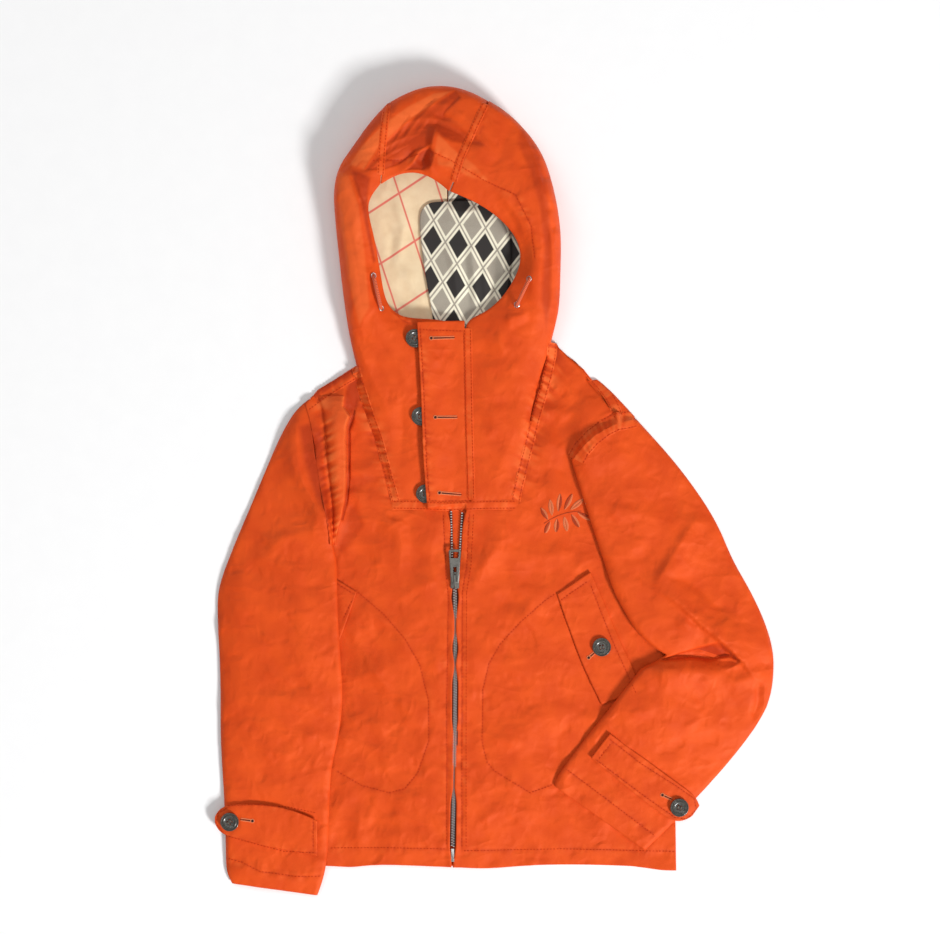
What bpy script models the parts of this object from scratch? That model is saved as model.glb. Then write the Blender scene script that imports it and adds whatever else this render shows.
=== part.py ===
"""A child's hooded windbreaker with a zipped front, laid flat on its back.

Metres, +Z up, +Y towards the hood and +X towards the wearer's left. The tables
give places in millimetres on the laying table, x to the right and y down from
its far edge, and heights in millimetres above it. place() turns them into the
garment's own frame, whose origin is on the table under the garment's middle.
"""

from collections import namedtuple
from math import cos, hypot, pi, radians, sin, tau

import bmesh
import bpy
import numpy as np
from mathutils import Matrix, Vector
from mathutils.bvhtree import BVHTree

MM = 0.001
MIDDLE_X, MIDDLE_Y = 494.5, 491.7  # the table's place under the garment's middle

SHELL_WALL = 1.2  # woven outer cloth with its seam turnings
LINING_WALL = 1.0
LAYER = SHELL_WALL + 0.7  # from the middle of one layer to the middle of the next
ZIP_X = 455.0
HEM_Y = 866.0

Fold = namedtuple("Fold", "x0 y0 x1 y1 rise left right")


# ---------------------------------------------------------------- curves and fields


def place(x, y, z):
    return Vector(((x - MIDDLE_X) * MM, (MIDDLE_Y - y) * MM, z * MM))


def ease(t):
    t = min(max(t, 0.0), 1.0)
    return t * t * (3.0 - 2.0 * t)


def blend(a, b, t):
    return a + (b - a) * t


def smooth(table, count, places=4):
    """A table's columns, read at even steps along a smooth curve through its rows."""
    rows = np.array(table, float)
    steps = np.linalg.norm(np.diff(rows[:, :places], axis=0), axis=1)
    at = np.concatenate([[0.0], np.cumsum(steps)])
    slope = np.gradient(rows, at, axis=0)
    wanted = np.linspace(0.0, at[-1], count)
    low = np.clip(np.searchsorted(at, wanted, side="right") - 1, 0, len(at) - 2)
    span = (at[low + 1] - at[low])[:, None]
    t = (wanted - at[low])[:, None] / span
    return (
        (2 * t**3 - 3 * t**2 + 1) * rows[low]
        + (t**3 - 2 * t**2 + t) * span * slope[low]
        + (3 * t**2 - 2 * t**3) * rows[low + 1]
        + (t**3 - t**2) * span * slope[low + 1]
    )


def read_at(table, y):
    """The first column of a table of (x, y) rows where its second column is y."""
    rows = np.array(table, float)
    return float(np.interp(y, rows[:, 1], rows[:, 0]))


def fold_rise(x, y, folds):
    """How far the folds lift the cloth: full on a crest, less to its sides and ends."""
    total = 0.0
    for fold in folds:
        dx, dy = fold.x1 - fold.x0, fold.y1 - fold.y0
        length = hypot(dx, dy)
        along = ((x - fold.x0) * dx + (y - fold.y0) * dy) / length
        aside = ((x - fold.x0) * dy - (y - fold.y0) * dx) / length
        width = fold.left if aside > 0 else fold.right
        if abs(aside) >= width:
            continue
        fade = 0.25 * length + 6.0
        ends = ease((along + fade * 0.5) / fade) * ease((length + fade * 0.5 - along) / fade)
        total += fold.rise * ends * 0.5 * (1.0 + cos(pi * aside / width))
    return total


# ---------------------------------------------------------------- materials and meshes


def linear(shade):
    shade = shade / 255.0
    return shade / 12.92 if shade <= 0.04045 else ((shade + 0.055) / 1.055) ** 2.4


def finish(name, red, green, blue, roughness, metallic=0.0):
    material = bpy.data.materials.new(name)
    material.use_nodes = True
    shader = material.node_tree.nodes["Principled BSDF"]
    shader.inputs["Base Color"].default_value = (linear(red), linear(green), linear(blue), 1.0)
    shader.inputs["Roughness"].default_value = roughness
    shader.inputs["Metallic"].default_value = metallic
    return material


def add_object(name, bm, material, smooth_angle=40.0):
    mesh = bpy.data.meshes.new(name)
    bm.to_mesh(mesh)
    bm.free()
    mesh.materials.append(material)
    mesh.shade_smooth()
    mesh.set_sharp_from_angle(angle=radians(smooth_angle))
    made = bpy.data.objects.new(name, mesh)
    bpy.context.collection.objects.link(made)
    return made


def cloth(name, rows, material, wall=SHELL_WALL, ring=False):
    """A piece of cloth through rows of places in its middle, with its wall added."""
    bm = bmesh.new()
    grid = [[bm.verts.new(point) for point in row] for row in rows]
    columns = len(grid[0])
    for near, far in zip(grid, grid[1:]):
        for k in range(columns if ring else columns - 1):
            after = (k + 1) % columns
            bm.faces.new((near[k], near[after], far[after], far[k]))
    bmesh.ops.remove_doubles(bm, verts=bm.verts, dist=0.00006)
    made = add_object(name, bm, material)
    shell = made.modifiers.new("wall", "SOLIDIFY")
    shell.thickness = wall * MM
    shell.offset = 0.0
    shell.use_quality_normals = True
    return made


def panel(name, rows, columns, level, material, wall=SHELL_WALL):
    """A cloth panel: each row runs straight between its two ends, at the heights level(x, y)."""
    grid = []
    for x0, y0, x1, y1 in rows:
        grid.append([])
        for k in range(columns):
            x = blend(x0, x1, k / (columns - 1))
            y = blend(y0, y1, k / (columns - 1))
            grid[-1].append(place(x, y, level(x, y)))
    return cloth(name, grid, material, wall)


def bar(name, path, half_width, half_height, material):
    """A square-edged strip along places, upright."""
    bm = bmesh.new()
    rings = []
    for k, point in enumerate(path):
        before, after = path[max(k - 1, 0)], path[min(k + 1, len(path) - 1)]
        side = Vector((after.y - before.y, before.x - after.x, 0.0)).normalized() * half_width * MM
        up = Vector((0.0, 0.0, half_height * MM))
        corners = (side + up, up - side, -side - up, side - up)
        rings.append([bm.verts.new(point + corner) for corner in corners])
    for near, far in zip(rings, rings[1:]):
        for k in range(4):
            bm.faces.new((near[k], near[(k + 1) % 4], far[(k + 1) % 4], far[k]))
    bm.faces.new(rings[0])
    bm.faces.new(rings[-1])
    bmesh.ops.recalc_face_normals(bm, faces=bm.faces)
    return add_object(name, bm, material)


def turned(name, profile, sides, centre, axis, material):
    """A solid of revolution: rows of (radius, height) from its foot to its top, closed on the axis."""
    bm = bmesh.new()
    turn = Vector((0, 0, 1)).rotation_difference(axis)
    rings = []
    for radius, height in profile:
        if radius == 0:
            rings.append([bm.verts.new(centre + turn @ Vector((0, 0, height * MM)))])
            continue
        angles = [tau * k / sides for k in range(sides)]
        spots = [Vector((radius * cos(a) * MM, radius * sin(a) * MM, height * MM)) for a in angles]
        rings.append([bm.verts.new(centre + turn @ spot) for spot in spots])
    for near, far in zip(rings, rings[1:]):
        for k in range(sides):
            corners = [near[k % len(near)], near[(k + 1) % len(near)]]
            corners += [far[(k + 1) % len(far)], far[k % len(far)]]
            bm.faces.new(list(dict.fromkeys(corners)))
    bmesh.ops.recalc_face_normals(bm, faces=bm.faces)
    return add_object(name, bm, material, 35.0)


def surface(*objects):
    """The outer faces of finished pieces, to lay other pieces on."""
    bpy.context.view_layer.update()
    graph = bpy.context.evaluated_depsgraph_get()
    return [BVHTree.FromObject(piece, graph) for piece in objects]


def top(trees, x, y, missing=None):
    """The height of the highest face over a place on the table, in millimetres."""
    start = place(x, y, 200.0)
    hits = [tree.ray_cast(start, Vector((0, 0, -1)))[0] for tree in trees]
    heights = [hit.z / MM for hit in hits if hit]
    return max(heights) if heights else missing


def top_near(trees, x, y):
    """The height of the highest face within a few millimetres, or a little further off an edge."""
    for reach in (4.0, 9.0, 14.0, 20.0):
        spots = [(0.0, 0.0)] + [(reach * cos(tau * k / 8), reach * sin(tau * k / 8)) for k in range(8)]
        heights = [top(trees, x + dx, y + dy) for dx, dy in spots]
        heights = [height for height in heights if height is not None]
        if heights:
            return max(heights)
    return 0.0


def seat(trees, x, y, radius, gap):
    """Where a round piece sits on cloth: its foot's middle and the direction it faces."""
    middle = top(trees, x, y)
    spots = []
    for k in range(12):
        dx, dy = radius * cos(tau * k / 12), radius * sin(tau * k / 12)
        spots.append((dx, dy, top(trees, x + dx, y + dy, middle)))
    tilt_x = sum(dx * z for dx, dy, z in spots) / (6 * radius**2)
    tilt_y = sum(dy * z for dx, dy, z in spots) / (6 * radius**2)
    proud = max([middle] + [z - tilt_x * dx - tilt_y * dy for dx, dy, z in spots])
    axis = Vector((-tilt_x, tilt_y, 1.0)).normalized()
    return place(x, y, proud + gap / axis.z), axis


# ---------------------------------------------------------------- the body: back and fronts

# The back's outline on the table, from the neck round by the wearer's left.
BACK_OUTLINE = (
    (361.0, 374.0), (412.0, 352.6), (466.0, 353.4), (549.0, 351.5),  # neck
    (566.0, 356.0), (588.0, 376.5), (608.0, 393.0), (631.0, 419.5),  # shoulder
    (624.0, 450.0), (630.0, 500.0), (648.0, 540.0), (664.0, 566.0),  # armhole
    (670.0, 700.0), (675.5, 822.0), (676.0, 868.5), (630.0, 865.5),  # side and hem
    (560.0, 863.5), (500.0, 866.5), (452.0, 866.0), (400.0, 864.0),
    (326.0, 864.5), (243.0, 865.0), (246.0, 700.0), (250.0, 585.0),  # side
    (290.0, 545.0), (306.0, 480.0), (309.0, 430.0), (309.5, 402.5),  # armhole
    (333.0, 386.5),
)

FRONT_LOW = 2.2  # a front's middle where it lies flat on the back
FRONT_PUFF = 4.4
FRONT_COLUMNS = 18
PUFF_HALF_WIDTH = 150.0

FRONT_FOLDS = (
    # the roll beside the right armhole and the pleat above the left one
    Fold(336, 412, 337, 530, 6.5, 12, 42),
    Fold(352, 384, 344, 412, 3.5, 7, 16),
    Fold(581, 398, 586, 470, 6.5, 60, 13),
    # soft puffs on the chest and under the neck piece
    Fold(352, 486, 402, 470, 2.2, 12, 22),
    Fold(372, 560, 420, 532, 2.4, 26, 14),
    Fold(356, 516, 440, 540, 1.6, 16, 16),
    Fold(505, 548, 590, 566, 3.0, 14, 34),
    Fold(470, 566, 512, 530, 2.0, 14, 20),
    Fold(540, 430, 560, 500, 2.2, 18, 14),
    Fold(530, 470, 575, 452, 2.0, 12, 14),
    # drag lines over the pockets and towards the hem
    Fold(352, 690, 420, 640, 2.2, 30, 16),
    Fold(346, 736, 424, 716, 2.6, 26, 14),
    Fold(372, 760, 404, 752, 1.6, 12, 10),
    Fold(350, 648, 372, 616, 1.6, 14, 12),
    Fold(360, 800, 366, 850, 1.6, 12, 12),
    Fold(486, 640, 545, 604, 2.2, 24, 16),
    Fold(500, 700, 560, 668, 2.6, 26, 16),
    Fold(492, 742, 566, 726, 2.4, 24, 14),
    Fold(520, 778, 548, 770, 1.6, 12, 12),
    Fold(480, 822, 560, 808, 1.6, 18, 14),
    Fold(588, 836, 650, 852, 1.4, 12, 12),
)

# Middle line of the zip's left-hand and right-hand chains: x, y. They part above the slider.
CHAIN_RIGHT = ((451.7, 510.6), (452.4, 548.0), (453.75, 584.0), (454.2, 612.0), (454.0, 700.0),
               (453.8, 730.0), (452.5, 804.0), (451.6, 847.0), (451.0, 866.0))
CHAIN_LEFT = ((461.8, 510.6), (459.5, 548.0), (455.95, 584.0), (456.4, 612.0), (456.2, 700.0),
              (456.0, 730.0), (454.7, 804.0), (453.8, 847.0), (453.2, 866.0))
CHAIN_HALF = 0.95
CHAIN_EDGE = CHAIN_HALF + 0.45  # from a chain's middle to the edge of its front

# A front's rows from the shoulder to the hem: outer end, then the end at the neck or zip.
FRONT_RIGHT_TOP = (
    (311.0, 402.5, 354.8, 376.5),
    (318.5, 406.0, 360.5, 393.0),
    (322.5, 420.0, 367.5, 415.0),
    (325.5, 440.0, 376.5, 440.0),
    (328.5, 460.0, 385.0, 461.0),
    (331.0, 482.0, 391.5, 482.0),
    (333.0, 506.0, 397.5, 506.0),
    (331.0, 530.0, 424.0, 509.0),
    (316.0, 556.0, 449.8, 511.0),
    (283.0, 572.0, 450.6, 538.0),
    (252.0, 590.0, 451.4, 565.0),
)
FRONT_LEFT_TOP = (
    (614.5, 416.5, 556.5, 352.5),
    (604.0, 425.0, 550.0, 375.0),
    (591.0, 432.0, 543.5, 395.0),
    (580.0, 442.5, 536.5, 415.0),
    (574.5, 457.0, 531.0, 437.0),
    (581.0, 478.0, 526.0, 458.0),
    (591.0, 502.0, 521.0, 482.0),
    (606.0, 528.0, 514.5, 506.0),
    (630.0, 552.0, 490.0, 509.0),
    (662.0, 580.0, 463.6, 511.0),
    (665.0, 600.0, 462.2, 538.0),
    (667.0, 625.0, 459.8, 565.0),
)
SIDE_RIGHT = ((252.0, 590.0), (247.0, 700.0), (244.0, 822.0), (243.5, 864.0))
SIDE_LEFT = ((667.0, 625.0), (670.0, 700.0), (675.3, 822.0), (676.0, 870.0))
HEM_RIGHT = ((243.5, 864.0), (300.0, 864.5), (326.0, 865.2), (355.0, 867.0), (370.0, 864.2),
             (400.0, 864.4), (449.6, 866.4))
HEM_LEFT = ((454.6, 866.6), (486.0, 868.0), (530.0, 865.0), (560.0, 862.8), (628.0, 865.0),
            (669.0, 870.6), (676.0, 870.0))


def front_level(x, y):
    """The height of a front's middle: flat at the sides and hem, puffed towards the zip."""
    across = min(abs(x - ZIP_X) / PUFF_HALF_WIDTH, 1.0)
    to_hem = blend(0.35, 1.0, ease((HEM_Y - y) / 70.0))
    puff = FRONT_PUFF * 0.5 * (1.0 + cos(pi * across)) * to_hem
    by_zip = 1.0 - 0.85 * ease(1.6 - abs(x - ZIP_X) / 14.0) * ease((y - 500.0) / 20.0)
    return FRONT_LOW + puff + fold_rise(x, y, FRONT_FOLDS) * by_zip


def zip_edge(chain, side, y):
    return read_at(chain, y) + side * CHAIN_EDGE


def front_rows(top_rows, sides, chain, side, top_count, low_count):
    """A front's rows: its upper table smoothed, then even steps down between side and zip."""
    rows = [list(row) for row in smooth(top_rows, top_count)]
    start_side, start_zip = top_rows[-1][1], top_rows[-1][3]
    for k in range(1, low_count + 1):
        t = k / low_count
        y_side = blend(start_side, sides[-1][1], t)
        y_zip = blend(start_zip, HEM_Y, t)
        rows.append([read_at(sides, y_side), y_side, zip_edge(chain, side, y_zip), y_zip])
    for row in rows:
        if row[3] > 510.0:
            row[2] = zip_edge(chain, side, row[3])
    return rows


def make_front(name, top_rows, sides, hem, chain, side, bow, material):
    rows = front_rows(top_rows, sides, chain, side, 15, 16)
    hem_x, hem_y = zip(*hem)
    grid = []
    for row, (x0, y0, x1, y1) in enumerate(rows):
        grid.append([])
        for k in range(FRONT_COLUMNS):
            t = k / (FRONT_COLUMNS - 1)
            x, y = blend(x0, x1, t), blend(y0, y1, t)
            if row == 0:
                out = bow * 4.0 * t * (1.0 - t)
                x, y = x + side * out * 0.7, y - out
            if row >= len(rows) - 2:
                wave = float(np.interp(x, hem_x, hem_y)) - y
                y += wave if row == len(rows) - 1 else 0.5 * wave
            grid[-1].append(place(x, y, front_level(x, y)))
    return cloth(name, grid, material)


def make_back(material):
    """The back: one flat panel with its seams' turnings, on the table."""
    bm = bmesh.new()
    outline = [bm.verts.new(place(x, y, 0.0)) for x, y in BACK_OUTLINE]
    base = bm.faces.new(outline)
    raised = bmesh.ops.extrude_face_region(bm, geom=[base])
    lifted = [v for v in raised["geom"] if isinstance(v, bmesh.types.BMVert)]
    bmesh.ops.translate(bm, verts=lifted, vec=(0, 0, SHELL_WALL * MM))
    bmesh.ops.recalc_face_normals(bm, faces=bm.faces)
    return add_object("back", bm, material)


# Strips of the back that turn over the shoulders: outline, then the seam with the front.
SHOULDER_RIGHT = (
    (311.5, 394.5, 312.0, 396.5),
    (320.0, 389.0, 322.5, 392.0),
    (330.0, 383.0, 334.0, 387.0),
    (342.0, 376.0, 345.5, 380.0),
    (352.5, 370.0, 353.0, 372.0),
)
SHOULDER_LEFT = (
    (591.0, 374.8, 590.5, 376.5),
    (600.0, 382.5, 598.5, 385.5),
    (610.0, 391.0, 606.5, 394.5),
    (622.0, 403.5, 614.0, 406.0),
    (634.5, 417.0, 620.0, 416.5),
)


def make_shoulder(name, table, material):
    grid = []
    for x0, y0, x1, y1 in smooth(table, 12):
        seam_z = front_level(x1, y1)
        inset = min(2.0, 0.4 * hypot(x1 - x0, y1 - y0))
        toward = Vector((x1 - x0, y1 - y0)).normalized() * inset
        row = [place(x0 + toward.x * 0.2, y0 + toward.y * 0.2, 0.75)]
        row.append(place(x0, y0, blend(0.75, seam_z, 0.35)))
        row.append(place(x0 + toward.x * 0.5, y0 + toward.y * 0.5, blend(0.75, seam_z, 0.8)))
        row.append(place(blend(x0, x1, 0.6), blend(y0, y1, 0.6), seam_z))
        row.append(place(x1, y1, seam_z))
        grid.append(row)
    return cloth(name, grid, material, 1.0)


# ---------------------------------------------------------------- hood and neck piece

CREST = 0.42  # where a section of the hood is highest, from the face rim to the outer fold
RIM_TURN = ((7.0, 3.1), (2.2, 2.9), (0.0, 1.5), (1.4, 0.2))  # facing: inset from the rim, drop
FLOOR = 0.62  # the middle of cloth that lies on the table

HOOD_FOLDS = (
    Fold(462, 97, 421, 121, 4.5, 18, 10),
    Fold(421, 121, 374, 170, 5.0, 20, 11),
    Fold(436, 119, 492, 154, 3.5, 10, 16),
    Fold(343, 168, 374, 177, 3.5, 9, 12),
    Fold(352, 196, 362, 330, 3.0, 9, 12),
    Fold(528, 168, 540, 330, 3.5, 10, 14),
    Fold(551, 190, 553, 250, 2.5, 7, 7),
    Fold(400, 346, 372, 300, 2.5, 12, 10),
    Fold(392, 420, 408, 350, 2.5, 14, 12),
    Fold(520, 330, 524, 440, 3.0, 8, 18),
    Fold(484, 352, 512, 340, 2.0, 12, 12),
    Fold(480, 440, 512, 400, 2.0, 14, 14),
    Fold(455, 205, 505, 240, 2.0, 8, 10),
)

# Sections of the hood's sides from the top seam down to the chest seam: the face rim (below
# it the edge of the neck opening), the outer fold, the inner end on the table, the heights of
# rim and crest, and how far the outer fold and the turned-in end lie above front_level.
HoodRow = namedtuple("HoodRow", "rx ry ex ey ux uy rim crest fold_lift under_lift")
HOOD_RIGHT = (
    HoodRow(381.5, 188.0, 389.5, 106.5, 394.0, 118.0, 27.0, 37.0, 9.0, 0.0),
    HoodRow(375.0, 196.0, 372.0, 124.0, 395.0, 134.0, 27.0, 37.0, 9.0, 0.0),
    HoodRow(370.5, 204.0, 357.0, 146.0, 396.5, 152.0, 26.0, 36.0, 9.0, 0.0),
    HoodRow(368.8, 212.0, 341.0, 166.0, 398.0, 172.0, 25.0, 34.0, 10.0, 0.0),
    HoodRow(371.0, 225.0, 334.8, 190.0, 399.5, 195.0, 24.0, 33.0, 10.0, 0.0),
    HoodRow(375.0, 241.0, 336.5, 222.0, 401.0, 222.0, 23.0, 32.0, 10.0, 0.0),
    HoodRow(378.5, 262.0, 340.0, 258.0, 403.0, 252.0, 22.0, 31.0, 10.0, 0.0),
    HoodRow(381.8, 281.0, 343.8, 292.0, 405.0, 282.0, 20.5, 30.0, 10.0, 0.0),
    HoodRow(386.5, 304.0, 348.3, 325.0, 407.0, 310.0, 18.0, 27.5, 9.0, 0.0),
    HoodRow(394.5, 315.5, 352.0, 346.0, 409.0, 330.0, 16.0, 24.0, 7.5, 0.0),
    HoodRow(409.0, 319.5, 357.5, 368.0, 409.0, 345.5, 14.0, 20.5, 6.0, 0.6),
    HoodRow(432.0, 320.5, 366.0, 395.0, 376.0, 390.5, 13.0, 17.0, 4.6, 1.2),
    HoodRow(456.0, 324.0, 374.0, 418.0, 382.0, 415.0, 12.2, 15.0, 4.2, 1.3),
    HoodRow(456.5, 362.0, 381.0, 440.0, 387.0, 438.0, 10.8, 12.6, 3.8, 1.2),
    HoodRow(457.0, 410.0, 386.5, 460.0, 387.5, 459.8, 9.6, 10.6, 2.2, 1.6),
    HoodRow(457.5, 450.0, 392.0, 481.0, 392.0, 481.0, 8.6, 9.0, 0.7, 0.7),
    HoodRow(458.0, 502.0, 398.2, 502.8, 398.2, 502.8, 6.9, 6.4, 0.2, 0.2),
)
HOOD_LEFT = (
    HoodRow(450.5, 195.0, 489.0, 105.0, 486.0, 117.0, 27.0, 37.0, 9.0, 0.0),
    HoodRow(463.0, 200.0, 503.0, 112.5, 485.0, 126.0, 27.0, 37.0, 9.0, 0.0),
    HoodRow(476.0, 206.0, 517.0, 125.0, 484.0, 138.0, 26.0, 36.0, 9.0, 0.0),
    HoodRow(489.0, 213.0, 531.0, 141.0, 483.0, 152.0, 25.5, 35.0, 9.0, 0.0),
    HoodRow(500.0, 222.0, 542.5, 157.0, 482.0, 168.0, 25.0, 34.0, 10.0, 0.0),
    HoodRow(510.0, 232.0, 550.0, 181.0, 481.0, 190.0, 24.0, 33.0, 10.0, 0.0),
    HoodRow(518.0, 243.5, 555.5, 205.0, 480.0, 212.0, 23.5, 32.0, 10.0, 0.0),
    HoodRow(521.0, 257.0, 560.0, 229.0, 479.0, 238.0, 23.0, 31.0, 10.0, 0.0),
    HoodRow(519.0, 271.0, 560.0, 258.0, 478.0, 262.0, 22.0, 30.0, 10.0, 0.0),
    HoodRow(511.5, 286.0, 559.5, 287.0, 477.0, 290.0, 20.5, 28.0, 9.0, 0.0),
    HoodRow(501.0, 301.0, 558.5, 311.0, 475.0, 316.0, 18.5, 26.0, 7.5, 0.0),
    HoodRow(487.0, 313.5, 554.5, 327.0, 473.0, 332.0, 16.5, 23.0, 6.5, 0.0),
    HoodRow(474.0, 318.0, 552.0, 341.0, 471.5, 345.0, 14.5, 20.0, 5.5, 0.0),
    HoodRow(466.4, 322.5, 544.0, 362.0, 534.0, 360.0, 13.8, 18.0, 4.6, 1.2),
    HoodRow(465.8, 342.0, 536.5, 386.0, 529.0, 385.0, 13.2, 16.2, 4.4, 1.3),
    HoodRow(466.5, 380.0, 530.8, 412.0, 526.0, 412.0, 12.4, 14.4, 3.9, 1.2),
    HoodRow(467.5, 425.0, 526.2, 440.0, 525.2, 440.0, 11.0, 12.0, 2.2, 1.6),
    HoodRow(469.0, 465.0, 521.0, 472.0, 521.0, 472.0, 9.6, 10.0, 0.7, 0.7),
    HoodRow(470.5, 502.0, 514.2, 502.5, 514.2, 502.5, 7.6, 6.8, 0.2, 0.2),
)
HOOD_ROWS = 22


def hood_section(row):
    """One section of a hood side: turned facing, over the crest, round the fold, in along the table."""
    rim, edge, under = Vector((row.rx, row.ry)), Vector((row.ex, row.ey)), Vector((row.ux, row.uy))
    across = edge - rim
    way = across.normalized()
    base = front_level(edge.x, edge.y)
    flat = ease((row.ey - 342.0) / 18.0)  # 0 on the hood, 1 on the neck piece
    fold_z = base + row.fold_lift
    under_z = blend(FLOOR, base + row.under_lift, flat)
    points = [(rim + way * inset, row.rim - drop, 0.0) for inset, drop in RIM_TURN]
    for k in range(1, 5):
        part = k / 4
        spot = rim + across * (CREST * part)
        points.append((spot, blend(row.rim, row.crest, ease(part)), ease(part * 1.6)))
    for k in range(1, 6):
        angle = pi / 2 * (1.0 - k / 5)
        spot = rim + across * (CREST + (1.0 - CREST) * cos(angle))
        points.append((spot, fold_z + (row.crest - fold_z) * sin(angle), sin(angle)))
    inward = under - edge
    reach = min(0.5 * inward.length, 9.0)
    inward = inward.normalized() if inward.length > 0.2 else Vector((0.0, 0.0))
    for k in range(1, 4):
        angle = pi / 2 * k / 3
        spot = edge + inward * reach * (1.0 - cos(angle))
        points.append((spot, fold_z - (fold_z - under_z) * sin(angle), 0.0))
    points.append((under, under_z, 0.0))
    return [place(p.x, p.y, z + w * fold_rise(p.x, p.y, HOOD_FOLDS)) for p, z, w in points]


def make_hood_side(name, table, material):
    rows = [HoodRow(*row) for row in smooth(table, HOOD_ROWS)]
    return cloth(name, [hood_section(row) for row in rows], material)


# The centre strip's seams with the two sides: at the face rim, the outer fold and the neck.
STRIP_RIM = (382.4, 188.0, 449.6, 195.0)
STRIP_FOLD = (390.4, 106.5, 488.1, 105.0)
STRIP_TURN = (395.0, 118.0, 485.0, 117.0)
STRIP_NECK = (413.0, 351.4, 469.0, 351.4)
STRIP_BOW_RIM, STRIP_BOW_FOLD = 15.0, 16.5
STRIP_COLUMNS = 9


def make_hood_centre(material):
    def across(ends, bow, z, weight):
        row = []
        for k in range(STRIP_COLUMNS):
            t = k / (STRIP_COLUMNS - 1)
            x, y = blend(ends[0], ends[2], t), blend(ends[1], ends[3], t)
            y -= bow * 4.0 * t * (1.0 - t)
            row.append(place(x, y, z + weight * fold_rise(x, y, HOOD_FOLDS)))
        return row

    def between(a, b, t):
        return [blend(p, q, t) for p, q in zip(a, b)]

    first = HOOD_RIGHT[0]
    length = hypot(first.ex - first.rx, first.ey - first.ry)
    fold_z = front_level(first.ex, first.ey) + first.fold_lift
    rows = []
    for inset, drop in RIM_TURN:
        ends = between(STRIP_RIM, STRIP_FOLD, inset / length)
        rows.append(across(ends, STRIP_BOW_RIM, first.rim - drop, 0.0))
    for k in range(1, 5):
        t = CREST * k / 4
        z = blend(first.rim, first.crest, ease(k / 4))
        bow = blend(STRIP_BOW_RIM, STRIP_BOW_FOLD, t)
        rows.append(across(between(STRIP_RIM, STRIP_FOLD, t), bow, z, ease(k / 4 * 1.6)))
    for k in range(1, 6):
        angle = pi / 2 * (1.0 - k / 5)
        t = CREST + (1.0 - CREST) * cos(angle)
        z = fold_z + (first.crest - fold_z) * sin(angle)
        bow = blend(STRIP_BOW_RIM, STRIP_BOW_FOLD, t)
        rows.append(across(between(STRIP_RIM, STRIP_FOLD, t), bow, z, sin(angle)))
    for k in range(1, 4):
        angle = pi / 2 * k / 3
        ends = between(STRIP_FOLD, STRIP_TURN, 1.0 - cos(angle))
        z = fold_z - (fold_z - FLOOR) * sin(angle)
        rows.append(across(ends, STRIP_BOW_FOLD, z, 0.0))
    for k in range(1, 5):
        t = k / 4
        rows.append(across(between(STRIP_TURN, STRIP_NECK, t), STRIP_BOW_FOLD * (1 - t), FLOOR, 0.0))
    return cloth("hood_centre", rows, material)


# The lining where the face opening shows it: a shallow bowl on the hood's back.
BOWL_X, BOWL_Y, BOWL_RX, BOWL_FAR, BOWL_NEAR = 448.0, 250.0, 96.0, 92.0, 112.0
LINING_LOW, LINING_RISE = 2.3, 6.5
LINING_RIGHT = ((378.0, 166.0, 447.0, 166.0), (362.0, 190.0, 447.0, 190.0),
                (357.0, 225.0, 447.5, 225.0), (360.0, 262.0, 448.0, 262.0),
                (366.0, 298.0, 448.5, 298.0), (378.0, 331.0, 449.0, 331.0))
LINING_LEFT = ((448.0, 166.0, 500.0, 176.0), (448.0, 190.0, 524.0, 196.0),
               (448.5, 225.0, 538.0, 225.0), (449.0, 262.0, 538.0, 262.0),
               (449.5, 298.0, 528.0, 298.0), (450.0, 331.0, 508.0, 326.0))
# The lining's middle piece lies over the two others: its left-hand edge, then its right-hand one.
LINING_CENTRE = ((432.0, 203.0, 478.0, 201.0), (421.0, 210.0, 500.0, 212.0),
                 (419.5, 222.0, 508.0, 226.0), (421.5, 245.0, 511.0, 248.0),
                 (425.0, 272.0, 510.0, 274.0), (430.0, 300.0, 506.0, 300.0),
                 (434.5, 330.0, 500.0, 328.0))
LINING_PUFF = 6.0


def bowl_level(x, y):
    depth = BOWL_NEAR if y > BOWL_Y else BOWL_FAR
    out = min(hypot((x - BOWL_X) / BOWL_RX, (y - BOWL_Y) / depth), 1.2)
    return LINING_LOW + LINING_RISE * out**2.4


def centre_lining_level(x, y):
    up = max(0.0, 1.0 - ((x - 466.0) / 46.0) ** 2) * ease((y - 196.0) / 26.0)
    down = ease((326.0 - y) / 60.0)
    return bowl_level(x, y) + 1.9 + LINING_PUFF * up * down


# The placket over the neck opening: left-hand edge, then the seam where it is sewn on.
PLACKET = ((417.5, 322.7, 464.6, 321.5), (419.0, 349.0, 464.6, 346.0),
           (421.5, 397.0, 465.4, 392.0), (424.0, 465.0, 467.6, 462.0),
           (427.5, 507.6, 469.4, 503.4))
PLACKET_LIFT = 3.9  # the buttons hold its loose edge up


# ---------------------------------------------------------------- sleeves

SleeveRow = namedtuple("SleeveRow", "ix iy ox oy in_lift out_lift gap puff bow")
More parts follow.
